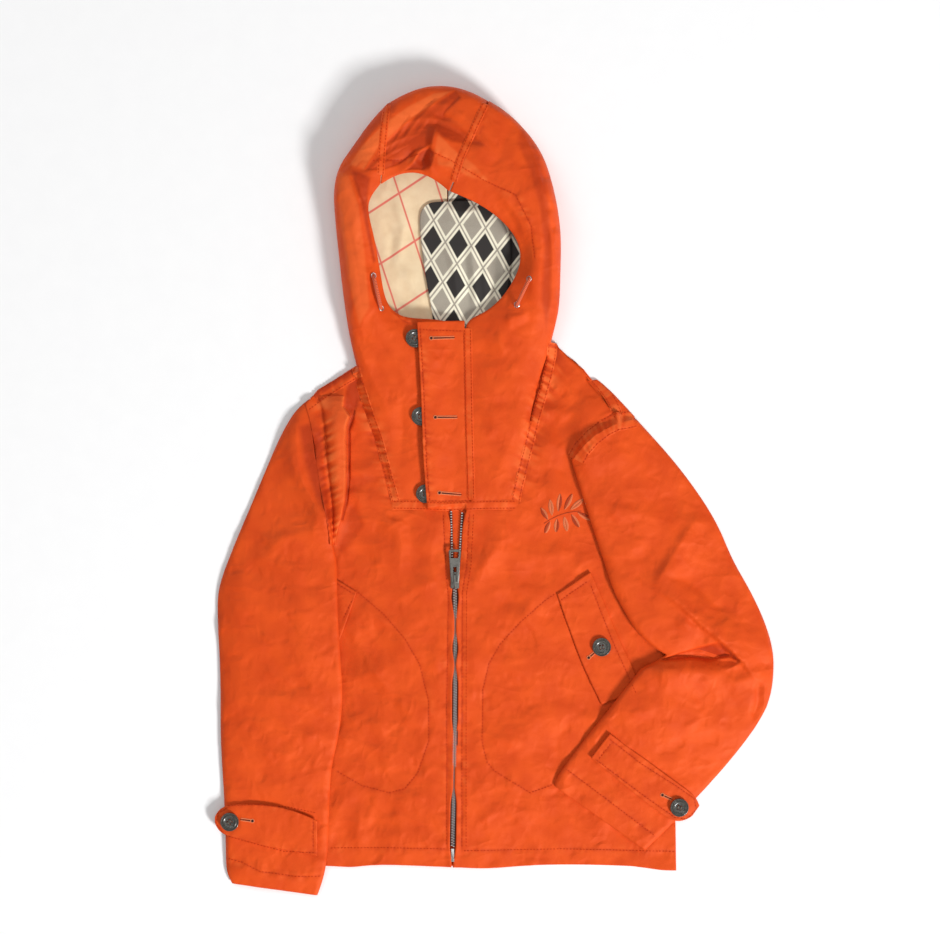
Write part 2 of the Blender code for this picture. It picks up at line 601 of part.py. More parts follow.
# Rows across a flattened sleeve: the edge over the body, the outer edge, how far the lower
# layer lies above what carries it at each, the gap between the layers, puff and bow.
SLEEVE_RIGHT = (
    SleeveRow(331.5, 527.0, 310.0, 399.5, 1.9, -1.6, 3.0, 1.5, 4.0),
    SleeveRow(333.0, 540.0, 297.5, 409.0, 1.9, -0.6, 3.0, 1.8, 2.0),
    SleeveRow(334.0, 549.0, 282.5, 434.0, 1.9, 0.0, 3.0, 2.2, 0.0),
    SleeveRow(336.0, 559.0, 265.5, 473.0, 1.9, 0.0, 3.0, 2.5, 0.0),
    SleeveRow(337.0, 571.0, 247.0, 517.0, 2.4, 0.0, 3.0, 2.5, 0.0),
    SleeveRow(337.2, 583.0, 231.0, 555.5, 3.6, 0.0, 3.0, 2.5, 0.0),
    SleeveRow(337.5, 597.0, 219.5, 588.0, 3.9, 0.0, 3.0, 2.5, 0.0),
    SleeveRow(338.5, 625.0, 219.0, 625.0, 3.9, 0.0, 3.0, 2.6, 0.0),
    SleeveRow(341.0, 666.0, 220.8, 665.0, 3.9, 0.0, 3.0, 2.6, 0.0),
    SleeveRow(342.5, 699.0, 221.5, 700.0, 2.6, 0.0, 3.0, 2.4, 0.0),
    SleeveRow(338.5, 735.0, 221.6, 735.0, 0.2, 0.0, 3.0, 2.4, 0.0),
    SleeveRow(331.5, 766.0, 223.0, 765.0, 0.0, 0.0, 3.0, 2.2, 0.0),
    SleeveRow(329.5, 797.0, 225.0, 795.0, 0.0, 0.0, 2.8, 1.8, 0.0),
    SleeveRow(328.5, 826.0, 226.2, 825.0, 0.0, 0.0, 2.6, 1.4, 0.0),
    SleeveRow(327.0, 856.0, 227.0, 851.0, 0.0, 0.0, 2.6, 1.2, 0.0),
    SleeveRow(323.0, 878.0, 227.5, 872.0, 0.0, 0.0, 2.6, 1.0, 0.0),
    SleeveRow(317.0, 894.5, 233.0, 882.5, 0.0, 0.0, 2.6, 0.8, 0.0),
)
SLEEVE_LEFT = (
    SleeveRow(571.5, 459.5, 635.5, 419.5, 1.9, -1.6, 3.0, 1.5, 9.0),
    SleeveRow(575.0, 472.0, 652.0, 437.5, 1.9, -0.8, 3.0, 1.8, 6.0),
    SleeveRow(579.5, 486.0, 668.0, 455.5, 1.9, 0.0, 3.0, 2.2, 3.0),
    SleeveRow(586.5, 508.0, 690.5, 484.0, 1.9, 0.0, 3.0, 2.6, 0.0),
    SleeveRow(595.5, 536.0, 714.5, 521.0, 1.9, 0.0, 3.0, 2.8, 0.0),
    SleeveRow(604.5, 563.0, 733.0, 562.0, 2.4, 0.0, 3.2, 3.0, 0.0),
    SleeveRow(613.5, 590.0, 752.0, 596.0, 3.9, 0.0, 3.4, 3.4, 0.0),
    SleeveRow(624.5, 611.0, 764.5, 624.0, 3.9, 0.0, 3.6, 4.0, 0.0),
    SleeveRow(637.0, 631.5, 770.0, 643.0, 3.9, 0.5, 3.8, 5.0, 0.0),
    SleeveRow(652.0, 646.0, 772.0, 655.0, 3.9, 1.0, 3.4, 3.0, 0.0),
    SleeveRow(666.0, 654.0, 772.6, 665.0, 3.9, 1.0, 2.6, 0.2, 0.0),
    SleeveRow(655.0, 662.0, 772.2, 675.0, 3.9, 0.8, 3.2, 2.6, 0.0),
    SleeveRow(641.0, 666.5, 771.0, 688.0, 3.9, 0.5, 3.6, 4.6, 0.0),
    SleeveRow(633.5, 677.5, 767.0, 704.0, 3.9, 0.0, 3.4, 4.2, 0.0),
    SleeveRow(619.0, 695.5, 752.0, 730.0, 3.9, 0.0, 3.2, 3.2, 0.0),
    SleeveRow(604.0, 715.0, 735.5, 752.0, 3.0, 0.0, 3.0, 2.6, 0.0),
    SleeveRow(588.0, 735.0, 716.0, 775.0, 0.4, 0.0, 3.0, 2.2, 0.0),
    SleeveRow(571.5, 757.0, 695.5, 797.0, 0.0, 0.0, 2.8, 1.6, 0.0),
    SleeveRow(560.0, 772.0, 672.5, 821.5, 0.0, 0.0, 2.6, 1.2, 0.0),
    SleeveRow(554.5, 785.0, 644.0, 849.0, 0.0, 0.0, 2.6, 0.8, 0.0),
)
SLEEVE_FOLDS_RIGHT = (
    Fold(297, 412, 299, 464, 4.0, 10, 26),
    Fold(299, 464, 333, 530, 4.0, 12, 24),
    Fold(266, 553, 330, 536, 3.2, 22, 26),
    Fold(236, 560, 254, 590, 2.0, 10, 12),
    Fold(300, 590, 318, 680, 2.2, 16, 22),
    Fold(246, 640, 330, 655, 1.6, 14, 14),
    Fold(250, 690, 326, 700, 1.8, 14, 16),
    Fold(236, 730, 316, 742, 1.6, 14, 14),
    Fold(240, 780, 312, 792, 2.6, 12, 18),
    Fold(300, 800, 322, 830, 2.0, 10, 12),
    Fold(236, 858, 300, 884, 1.4, 10, 12),
)
SLEEVE_FOLDS_LEFT = (
    Fold(600, 500, 672, 530, 2.6, 26, 20),
    Fold(698, 512, 682, 540, 3.0, 22, 10),
    Fold(682, 540, 656, 590, 4.0, 20, 12),
    Fold(657, 590, 722, 642, 6.5, 26, 14),
    Fold(722, 642, 762, 682, 5.5, 16, 12),
    Fold(606, 548, 640, 600, 2.6, 18, 20),
    Fold(652, 668, 716, 668, 6.5, 9, 24),
    Fold(716, 668, 760, 700, 4.0, 10, 22),
    Fold(640, 700, 716, 730, 2.6, 14, 18),
    Fold(600, 730, 650, 700, 2.0, 12, 14),
    Fold(700, 752, 730, 742, 2.4, 12, 12),
    Fold(590, 790, 640, 826, 1.6, 10, 12),
)
UPPER_SPANS, LOWER_SPANS = 11, 6
EDGE_DROP = 22.0  # beyond the body's edge a sleeve comes down to the table within this


def outside_body(x, y):
    """How far a place lies outside the back's outline, or 0 within it."""
    spots = np.array(BACK_OUTLINE)
    ends = np.roll(spots, -1, axis=0)
    edge = ends - spots
    rel = np.array((x, y)) - spots
    t = np.clip((rel * edge).sum(1) / (edge**2).sum(1), 0.0, 1.0)
    distance = np.linalg.norm(rel - edge * t[:, None], axis=1).min()
    above = (spots[:, 1] > y) != (ends[:, 1] > y)
    crossing = spots[:, 0] + edge[:, 0] * (y - spots[:, 1]) / np.where(edge[:, 1] == 0, 1, edge[:, 1])
    within = int((above & (x < crossing)).sum()) % 2 == 1
    return 0.0 if within else float(distance)


def carried_level(x, y):
    """The middle of a layer that lies on the fronts, or on the table beside them."""
    on_body = ease(1.0 - (outside_body(x, y) - 8.0) / EDGE_DROP)
    return blend(0.95, front_level(x, y) + LAYER, on_body)


def sleeve_ring(row, folds):
    """A ring round a flattened sleeve: out along its lower layer and back along its upper one."""
    def spot(u):
        bow = row.bow * 4.0 * u * (1.0 - u)
        x, y = blend(row.ix, row.ox, u), blend(row.iy, row.oy, u)
        length = hypot(row.ox - row.ix, row.oy - row.iy)
        return x + bow * (row.oy - row.iy) / length, y - bow * abs(row.ox - row.ix) / length

    def low(x, y, u):
        lift = blend(row.in_lift, row.out_lift, u) - 0.1
        return max(carried_level(x, y) + lift, FLOOR + 0.3)

    points = []
    for k in range(LOWER_SPANS + 1):
        u = 0.5 - 0.5 * cos(pi * k / LOWER_SPANS)
        x, y = spot(u)
        ends = 0.5 * row.gap if k in (0, LOWER_SPANS) else 0.0
        points.append(place(x, y, low(x, y, u) + ends))
    for k in range(UPPER_SPANS - 1, 0, -1):
        u = 0.5 - 0.5 * cos(pi * k / UPPER_SPANS)
        x, y = spot(u)
        full = sin(pi * u) ** 0.5
        lift = row.gap + row.puff * full + fold_rise(x, y, folds) * ease(full * 1.5)
        points.append(place(x, y, low(x, y, u) + lift))
    return points


def make_sleeve(name, table, folds, count, material):
    rows = [SleeveRow(*row) for row in smooth(table, count)]
    return cloth(name, [sleeve_ring(row, folds) for row in rows], material, ring=True)


# ---------------------------------------------------------------- straps, welts and small parts

# Rows along a strap or welt: one long edge, then the other.
CUFF_STRAP_RIGHT = ((216.0, 815.0, 215.8, 822.0), (218.5, 809.0, 218.0, 828.0),
                    (226.0, 804.5, 224.0, 832.5), (243.0, 802.5, 238.0, 836.0),
                    (262.0, 803.0, 258.0, 842.0), (281.0, 805.5, 281.0, 846.5),
                    (300.0, 811.0, 300.0, 850.5), (318.0, 819.0, 317.5, 854.0))
CUFF_STRAP_LEFT = ((609.0, 732.0, 590.5, 756.5), (627.0, 745.5, 608.0, 771.0),
                   (646.0, 759.0, 628.0, 787.0), (664.0, 772.5, 647.0, 802.5),
                   (680.0, 784.0, 662.0, 813.0), (690.0, 791.5, 672.0, 819.5),
                   (696.5, 798.0, 682.0, 820.0), (698.5, 804.5, 690.5, 816.0))
POCKET_WELT_LEFT = ((557.0, 593.5, 590.0, 571.5), (563.0, 612.0, 599.5, 592.0),
                    (571.0, 634.0, 609.5, 616.0), (578.5, 655.0, 620.0, 641.0),
                    (589.0, 679.0, 631.0, 664.0), (601.0, 704.0, 642.0, 690.0))
POCKET_WELT_RIGHT = ((357.0, 591.5, 322.0, 570.0), (350.0, 612.0, 312.5, 592.0),
                     (342.0, 634.0, 303.0, 616.0), (334.0, 655.0, 293.0, 641.0),
                     (324.0, 679.0, 283.0, 664.0), (312.0, 704.0, 271.0, 690.0))


def lay_strip(name, table, rows, columns, trees, material, wall, gap=0.5):
    """A flat piece laid over others: at each place it lies a gap above their highest face."""
    grid = []
    for x0, y0, x1, y1 in smooth(table, rows):
        grid.append([])
        for k in range(columns):
            x, y = blend(x0, x1, k / (columns - 1)), blend(y0, y1, k / (columns - 1))
            grid[-1].append(place(x, y, top_near(trees, x, y) + gap + wall / 2))
    return cloth(name, grid, material, wall)


BUTTON_RADIUS, BUTTON_THICK = 9.2, 2.6
BUTTON_PROFILE = ((0.0, 0.0), (7.4, 0.0), (9.0, 0.9), (9.2, 1.7), (8.4, 2.6), (7.2, 2.5),
                  (6.2, 1.9), (0.0, 1.9))
BUTTON_SIDES = 20
FRONT_BUTTONS = ((415.0, 339.5), (421.0, 416.5), (425.5, 493.5))
POCKET_BUTTON = (601.3, 646.6)
CUFF_BUTTON_RIGHT = (231.0, 820.0)
CUFF_BUTTON_LEFT = (678.2, 805.6)


def make_button(name, x, y, trees, material):
    foot, axis = seat(trees, x, y, BUTTON_RADIUS - 0.4, 0.35)
    return turned(name, BUTTON_PROFILE, BUTTON_SIDES, foot, axis, material)


EYELET_RING, EYELET_WIRE = 2.7, 0.6
EYELETS = (
    ("right_upper", 374.5, 278.0), ("right_lower", 382.0, 310.0),
    ("left_upper", 528.5, 281.5), ("left_lower", 516.5, 306.5),
)


# ---------------------------------------------------------------- zip: slider, pull tab, stop

SLIDER_Y0, SLIDER_Y1 = 571.5, 588.0
SLIDER_HALF, SLIDER_PLATE = 4.3, 1.3
BRIDGE_HALF, BRIDGE_HIGH, BRIDGE_THICK = 0.9, 4.0, 1.0
TAB_TOP, TAB_FOOT = 549.0, 582.4
TAB_HALF_TOP, TAB_HALF_FOOT, TAB_THICK = 6.1, 4.0, 1.5
PIN_Y = 581.6  # the tab's end bar, on its hinge axis
PIN_RADIUS = 0.75
SLOT_HALF, SLOT_TOP = 1.7, 566.5
WINDOW_HALF, WINDOW_TOP, WINDOW_FOOT = 4.0, 551.6, 557.6
TAB_X = 454.9


def box_between(name, low, high, material, bevel=0.0):
    bm = bmesh.new()
    bmesh.ops.create_cube(bm, size=1.0)
    for vert in bm.verts:
        vert.co = Vector([blend(low[i], high[i], vert.co[i] + 0.5) for i in range(3)])
    if bevel:
        bmesh.ops.bevel(bm, geom=bm.edges[:], offset=bevel * MM, segments=1, affect="EDGES")
    return add_object(name, bm, material)


def box_at(name, x0, x1, y0, y1, z0, z1, material, bevel=0.0):
    low, high = place(min(x0, x1), max(y0, y1), z0), place(max(x0, x1), min(y0, y1), z1)
    return box_between(name, low, high, material, bevel)


def helper(made, parent_name):
    """Marks a solid as a shape that is only joined to or cut from another."""
    made.name = parent_name
    made.hide_render = True
    made.display_type = "WIRE"
    return made


def combine(target, tool, operation):
    step = target.modifiers.new(operation.lower(), "BOOLEAN")
    step.operation = operation
    step.solver = "EXACT"
    step.object = tool


def extruded(name, outline, half, material):
    """A plate upright along X: an outline of (y, z) places, half its width to each side."""
    bm = bmesh.new()
    face = bm.faces.new([bm.verts.new(place(TAB_X - half, y, z)) for y, z in outline])
    moved = bmesh.ops.extrude_face_region(bm, geom=[face])
    verts = [v for v in moved["geom"] if isinstance(v, bmesh.types.BMVert)]
    bmesh.ops.translate(bm, verts=verts, vec=(2 * half * MM, 0, 0))
    bmesh.ops.recalc_face_normals(bm, faces=bm.faces)
    return add_object(name, bm, material)


def make_slider(base, material):
    slider = box_at("zip_slider", TAB_X - SLIDER_HALF, TAB_X + SLIDER_HALF, SLIDER_Y0, SLIDER_Y1,
                    base, base + SLIDER_PLATE, material, 0.35)
    foot, roof = base + SLIDER_PLATE - 0.4, base + SLIDER_PLATE + BRIDGE_HIGH
    y0, y1, thick = SLIDER_Y0 + 1.6, SLIDER_Y1 - 0.9, BRIDGE_THICK
    outline = ((y0, foot), (y0, roof - 1.4), (y0 + 1.6, roof), (y1 - 1.6, roof), (y1, roof - 1.4),
               (y1, foot), (y1 - thick, foot), (y1 - thick, roof - 1.8), (y1 - 2.0, roof - thick),
               (y0 + 2.0, roof - thick), (y0 + thick, roof - 1.8), (y0 + thick, foot))
    bridge = helper(extruded("bridge", outline, BRIDGE_HALF, material), "slider_bridge")
    combine(slider, bridge, "UNION")
    return slider


def make_pull(pin_z, material):
    """The pull tab, with a window at its free end and a slot that lets it turn on the bridge."""
    bm = bmesh.new()
    corners = ((-TAB_HALF_FOOT, TAB_FOOT), (TAB_HALF_FOOT, TAB_FOOT), (TAB_HALF_TOP, TAB_TOP + 1.5),
               (TAB_HALF_TOP - 1.5, TAB_TOP), (1.5 - TAB_HALF_TOP, TAB_TOP),
               (-TAB_HALF_TOP, TAB_TOP + 1.5))
    z0, z1 = pin_z - TAB_THICK / 2, pin_z + TAB_THICK / 2
    face = bm.faces.new([bm.verts.new(place(TAB_X + x, y, z0)) for x, y in corners])
    moved = bmesh.ops.extrude_face_region(bm, geom=[face])
    verts = [v for v in moved["geom"] if isinstance(v, bmesh.types.BMVert)]
    bmesh.ops.translate(bm, verts=verts, vec=(0, 0, (z1 - z0) * MM))
    bmesh.ops.recalc_face_normals(bm, faces=bm.faces)
    tab = add_object("zip_pull", bm, material)
    window = box_at("window", TAB_X - WINDOW_HALF, TAB_X + WINDOW_HALF, WINDOW_TOP, WINDOW_FOOT,
                    z0 - 1.0, z1 + 1.0, material)
    slot = box_at("slot", TAB_X - SLOT_HALF, TAB_X + SLOT_HALF, SLOT_TOP, PIN_Y - PIN_RADIUS,
                  z0 - 1.0, z1 + 1.0, material)
    combine(tab, helper(window, "pull_window"), "DIFFERENCE")
    combine(tab, helper(slot, "pull_slot"), "DIFFERENCE")
    origin = place(TAB_X, PIN_Y, pin_z)
    tab.data.transform(Matrix.Translation(-origin))
    tab.location = origin
    return tab




def chain_path(chain, y0, y1, count):
    path = []
    for k in range(count):
        y = blend(y0, y1, k / (count - 1))
        x = read_at(chain, y)
        path.append(place(x, y, front_level(ZIP_X, y)))
    return path


def guard_level(x, y):
    return front_level(ZIP_X, y) - LAYER - 0.5


# ---------------------------------------------------------------- build


def build():
    for old in list(bpy.data.objects):
        bpy.data.objects.remove(old)

    shell = finish("shell_cloth", 233, 90, 38, 0.62)
    lining = finish("lining_cloth", 226, 196, 150, 0.85)
    lining_dark = finish("lining_figured", 200, 195, 185, 0.85)
    horn = finish("button_horn", 75, 72, 68, 0.35)
    metal = finish("zip_metal", 110, 108, 98, 0.35, 1.0)
    bright = finish("stop_metal", 205, 205, 200, 0.3, 1.0)
    eyelet_metal = finish("eyelet_metal", 180, 178, 170, 0.3, 1.0)
    cord = finish("cord", 236, 100, 45, 0.8)

    make_back(shell)
    front_right = make_front("front_right", FRONT_RIGHT_TOP, SIDE_RIGHT, HEM_RIGHT, CHAIN_RIGHT,
                             -1, 0.0, shell)
    front_left = make_front("front_left", FRONT_LEFT_TOP, SIDE_LEFT, HEM_LEFT, CHAIN_LEFT,
                            1, 3.0, shell)
    make_shoulder("back_shoulder_right", SHOULDER_RIGHT, shell)
    make_shoulder("back_shoulder_left", SHOULDER_LEFT, shell)

    side_right = make_hood_side("hood_side_right", HOOD_RIGHT, shell)
    side_left = make_hood_side("hood_side_left", HOOD_LEFT, shell)
    make_hood_centre(shell)
    panel("hood_lining_right", smooth(LINING_RIGHT, 10), 7, bowl_level, lining, LINING_WALL)
    panel("hood_lining_left", smooth(LINING_LEFT, 10), 7, bowl_level, lining, LINING_WALL)
    panel("hood_lining_centre", smooth(LINING_CENTRE, 12), 9, centre_lining_level, lining_dark,
          LINING_WALL)

    neck = surface(side_right)
    for k, (x, y) in enumerate(FRONT_BUTTONS, 1):
        make_button(f"front_button_{k}", x, y, neck, horn)
    sewn = surface(side_left)

    def placket_level(x, y):
        inside = min(max(y, 328.0), 500.0)
        loose = top(neck, min(x, 450.0), inside) + 0.9 + PLACKET_LIFT * ease((462.0 - x) / 34.0)
        fixed = top(sewn, 473.0, inside) - 0.6
        return blend(loose, fixed, ease((x - 440.0) / 24.0))

    placket = panel("placket", smooth(PLACKET, 16), 7, placket_level, shell)

    sleeve_right = make_sleeve("sleeve_right", SLEEVE_RIGHT, SLEEVE_FOLDS_RIGHT, 32, shell)
    sleeve_left = make_sleeve("sleeve_left", SLEEVE_LEFT, SLEEVE_FOLDS_LEFT, 37, shell)

    over_right, over_left = surface(sleeve_right), surface(sleeve_left)
    strap_right = lay_strip("cuff_strap_right", CUFF_STRAP_RIGHT, 12, 5, over_right, shell, 1.6)
    strap_left = lay_strip("cuff_strap_left", CUFF_STRAP_LEFT, 13, 5, over_left, shell, 1.6)
    welt_right = lay_strip("pocket_welt_right", POCKET_WELT_RIGHT, 10, 5, surface(front_right),
                           shell, SHELL_WALL, 0.4)
    welt_left = lay_strip("pocket_welt_left", POCKET_WELT_LEFT, 10, 5, surface(front_left),
                          shell, SHELL_WALL, 0.4)
    make_button("cuff_button_right", *CUFF_BUTTON_RIGHT, surface(strap_right), horn)
    make_button("cuff_button_left", *CUFF_BUTTON_LEFT, surface(strap_left), horn)
    make_button("pocket_button", *POCKET_BUTTON, surface(welt_left), horn)

    panel("zip_guard", [(447.0, y, 466.0, y) for y in np.linspace(505.5, 592.0, 8)], 3,
          guard_level, shell, 1.0)
    bar("zip_chain_right", chain_path(CHAIN_RIGHT, 510.8, 847.0, 22), CHAIN_HALF, 1.0, metal)
    bar("zip_chain_left", chain_path(CHAIN_LEFT, 510.8, 847.0, 22), CHAIN_HALF, 1.0, metal)
    stop_z = front_level(ZIP_X, 855.0)
    box_at("zip_stop", 450.9, 454.5, 847.6, 861.0, stop_z - 1.1, stop_z + 1.5, bright, 0.4)
    base = max(front_level(ZIP_X + dx, y) for dx in (-5, 5) for y in (572, 580, 588)) + 1.4
    make_slider(base, metal)
    make_pull(base + SLIDER_PLATE + 0.5 + TAB_THICK / 2, metal)

    for side, hood in (("right", side_right), ("left", side_left)):
        trees = surface(hood)
        ends = []
        for name, x, y in EYELETS:
            if not name.startswith(side):
                continue
            foot, axis = seat(trees, x, y, EYELET_RING, 0.3)
            wire = [(EYELET_RING + EYELET_WIRE * cos(a), EYELET_WIRE * (1 + sin(a)))
                    for a in (-pi / 2, 0.0, pi / 2, pi)]
            turned_ring(f"eyelet_{name}", wire, 14, foot, axis, eyelet_metal)
            ends.append((x, y, foot.z / MM))
        make_cord(f"drawcord_{side}", ends, trees, cord)


def turned_ring(name, wire, sides, centre, axis, material):
    bm = bmesh.new()
    turn = Vector((0, 0, 1)).rotation_difference(axis)
    rings = []
    for k in range(sides):
        a = tau * k / sides
        spots = [Vector((r * cos(a) * MM, r * sin(a) * MM, z * MM)) for r, z in wire]
        rings.append([bm.verts.new(centre + turn @ spot) for spot in spots])
    for k in range(sides):
        near, far = rings[k], rings[(k + 1) % sides]
        for j in range(len(wire)):
            after = (j + 1) % len(wire)
            bm.faces.new((near[j], near[after], far[after], far[j]))
    bmesh.ops.recalc_face_normals(bm, faces=bm.faces)
    return add_object(name, bm, material)


CORD_RADIUS = 1.8
CORD_ARCH = 3.7


def make_cord(name, ends, trees, material):
    """A loop of the hood's cord, out of one eyelet and back in at the next."""
    (x0, y0, z0), (x1, y1, z1) = ends
    points = []
    count = 13
    for k in range(count):
        t = k / (count - 1)
        x, y = blend(x0, x1, t), blend(y0, y1, t)
        up = CORD_ARCH + 2.6 * (4 * t * (1 - t)) ** 0.6
        points.append(place(x, y, blend(z0, z1, t) + up))
    curve = bpy.data.curves.new(name, "CURVE")
    curve.dimensions = "3D"
    spline = curve.splines.new("POLY")
    spline.points.add(count - 1)
    for spot, point in zip(spline.points, points):
        spot.co = (*point, 1.0)
    curve.bevel_depth = CORD_RADIUS * MM
    curve.bevel_resolution = 2
    curve.use_fill_caps = True
    curve.materials.append(material)
    made = bpy.data.objects.new(name, curve)
    bpy.context.collection.objects.link(made)
    return made


build()
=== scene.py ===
import math

import bmesh
import bpy
import numpy as np
from mathutils import Matrix, Vector
from mathutils.bvhtree import BVHTree


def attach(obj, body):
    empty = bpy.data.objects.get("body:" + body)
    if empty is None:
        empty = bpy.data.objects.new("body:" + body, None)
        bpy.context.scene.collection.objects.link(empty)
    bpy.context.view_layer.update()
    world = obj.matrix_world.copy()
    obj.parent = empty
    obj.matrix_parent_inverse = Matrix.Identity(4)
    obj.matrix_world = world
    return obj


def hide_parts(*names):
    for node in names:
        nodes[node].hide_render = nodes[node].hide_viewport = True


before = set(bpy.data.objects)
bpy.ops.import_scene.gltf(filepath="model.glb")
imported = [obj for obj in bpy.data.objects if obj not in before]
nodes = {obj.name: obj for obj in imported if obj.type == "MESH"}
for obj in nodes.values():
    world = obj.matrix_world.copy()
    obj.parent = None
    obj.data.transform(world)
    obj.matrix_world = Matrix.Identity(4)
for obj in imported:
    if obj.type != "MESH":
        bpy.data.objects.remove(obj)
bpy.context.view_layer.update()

# ---- The laying table and the light on it -----------------------------------------------------
# The jacket lies on its back on a plain pale table. Places on the table are in millimetres, x to
# the right and y towards the hem. The camera looks straight down, and soft light comes from the
# hem's right-hand corner.
TABLE_MIDDLE = (494.5, 491.7)
CAMERA_HEIGHT = 2.2
SENSOR_WIDTH = 36
VIEW_WIDTH = 0.94
VIEW_MIDDLE = (470.0, 467.0)
WORLD_LIGHT = 0.33
LIGHTS = {  # name: (place, aim, size, power)
    "key_light": ((2.5, -2.7, 2.5), (0, 0, 0), 0.85, 206),
    "fill_light": ((-1.8, 1.9, 2.4), (0, 0, 0), 1.6, 22),
    "top_light": ((0.1, 0.3, 3.0), (0, 0.1, 0), 2.0, 11),
}
TABLE_WIDTH = 9
TABLE_DROP = 0.0003


def at(x, y, z=0.0):
    """The place in metres of a spot on the laying table."""
    return Vector(((x - TABLE_MIDDLE[0]) / 1000, (TABLE_MIDDLE[1] - y) / 1000, z / 1000))


def on_table(coords):
    """The table's x and y, in millimetres, of points in metres."""
    return coords[:, 0] * 1000 + TABLE_MIDDLE[0], TABLE_MIDDLE[1] - coords[:, 1] * 1000


scene = bpy.context.scene
scene.view_settings.view_transform = "Standard"
camera_data = bpy.data.cameras.new("camera")
camera_data.sensor_width = SENSOR_WIDTH
camera_data.lens = SENSOR_WIDTH * CAMERA_HEIGHT / VIEW_WIDTH
camera = bpy.data.objects.new("camera", camera_data)
scene.collection.objects.link(camera)
camera.location = at(*VIEW_MIDDLE)
camera.location.z = CAMERA_HEIGHT
scene.camera = camera
for name, (place, aim, size, power) in LIGHTS.items():
    softbox = bpy.data.lights.new(name, "AREA")
    softbox.size = size
    softbox.energy = power
    lamp = bpy.data.objects.new(name, softbox)
    lamp.location = place
    lamp.rotation_euler = (Vector(aim) - Vector(place)).to_track_quat("-Z", "Y").to_euler()
    scene.collection.objects.link(lamp)
world = bpy.data.worlds.new("studio")
world.use_nodes = True
world.node_tree.nodes["Background"].inputs["Color"].default_value = (1, 1, 1, 1)
world.node_tree.nodes["Background"].inputs["Strength"].default_value = WORLD_LIGHT
scene.world = world


def finish(name, roughness, **sockets):
    """A material, its shader, and functions that add further nodes and link them."""
    made = bpy.data.materials.new(name)
    made.use_nodes = True
    tree = made.node_tree
    shader = tree.nodes["Principled BSDF"]
    shader.inputs["Roughness"].default_value = roughness
    for socket, value in sockets.items():
        shader.inputs[socket.replace("_", " ")].default_value = value

    def add(kind, links=(), **values):
        node = tree.nodes.new(kind)
        for key, value in values.items():
            if key in node.inputs:
                node.inputs[key].default_value = value
            elif key.replace("_", " ") in node.inputs:
                node.inputs[key.replace("_", " ")].default_value = value
            else:
                setattr(node, key, value)
        for source, socket in links:
            tree.links.new(source, node.inputs[socket])
        return node

    return made, shader, add, tree.links.new


def stretched(add, scale, turn=0.0):
    """The object's own coordinates, multiplied by a scale, so 1000 gives millimetres."""
    where = add("ShaderNodeTexCoord")
    mapping = add("ShaderNodeMapping", [(where.outputs["Object"], "Vector")])
    mapping.inputs["Scale"].default_value = scale
    mapping.inputs["Rotation"].default_value = (0, 0, turn)
    return mapping.outputs["Vector"]


def blended(add, share, first, second):
    """Two colours mixed by a share."""
    mix = add("ShaderNodeMix", data_type="RGBA")
    for socket, value in ((6, first), (7, second)):
        if hasattr(value, "is_output"):
            mix.id_data.links.new(value, mix.inputs[socket])
        else:
            mix.inputs[socket].default_value = (*value, 1)
    mix.id_data.links.new(share, mix.inputs[0])
    return mix.outputs[2]


def ranged(add, value, low, high, to_low=0.0, to_high=1.0):
    """A value taken from one range to another, and held at its ends."""
    node = add("ShaderNodeMapRange", [(value, "Value")])
    for socket, number in zip(("From Min", "From Max", "To Min", "To Max"), (low, high, to_low, to_high)):
        node.inputs[socket].default_value = number
    return node.outputs["Result"]


def grained(add, scale, detail=2.0, distortion=0.0):
    """Noise with a grain of a given scale along each axis."""
    grain = add("ShaderNodeTexNoise", [(stretched(add, scale), "Vector")], Detail=detail, Distortion=distortion)
    return grain.outputs["Fac"]


def mottled(name, roughness, scale, first, second, detail=2.0, distortion=0.0, span=(0, 1), **sockets):
    """A material whose colour wanders between two, as the part of the noise in a span does."""
    made, shader, add, link = finish(name, roughness, **sockets)
    grain = grained(add, scale, detail, distortion)
    link(blended(add, ranged(add, grain, *span), first, second), shader.inputs["Base Color"])
    return made, shader, add, link, grain


board = mottled("table_board", 0.85, (9, 9, 9), (0.915, 0.915, 0.918), (0.945, 0.945, 0.945), 3.0)[0]
bpy.ops.mesh.primitive_plane_add(size=TABLE_WIDTH, location=(0, 0, -TABLE_DROP))
table = bpy.context.object
table.name = "table"
table.data.materials.append(board)

# ---- Drawcords --------------------------------------------------------------------------------
# Two short loops of the hood's braided cotton cord, 3.6 mm thick. Each comes out of one eyelet
# of the hood's channel and goes back in at the next.
CORD_RADIUS = 0.0018
CORD_ENDS = {
    "right": ((374.5, 278.0, 25.54), (382.0, 310.0, 23.12)),
    "left": ((528.5, 281.5, 30.06), (516.5, 306.5, 25.05)),
}
CORD_STEPS = 25
CORD_SEAT = 0.4  # how far its middle line leaves the eyelet, and how high the loop stands
CORD_ARCH = 5.9

braid, shader, add, link = finish("cord_braid", 0.75, Sheen_Weight=0.2)
twill = add("ShaderNodeTexWave", [(stretched(add, (900, 900, 900)), "Vector")], Scale=0.35, Distortion=2.0)
twill.bands_direction = "DIAGONAL"
link(blended(add, twill.outputs["Fac"], (0.42, 0.045, 0.012), (0.86, 0.15, 0.045)), shader.inputs["Base Color"])
bump = add("ShaderNodeBump", [(twill.outputs["Fac"], "Height")], Strength=0.6, Distance=0.0004)
link(bump.outputs["Normal"], shader.inputs["Normal"])

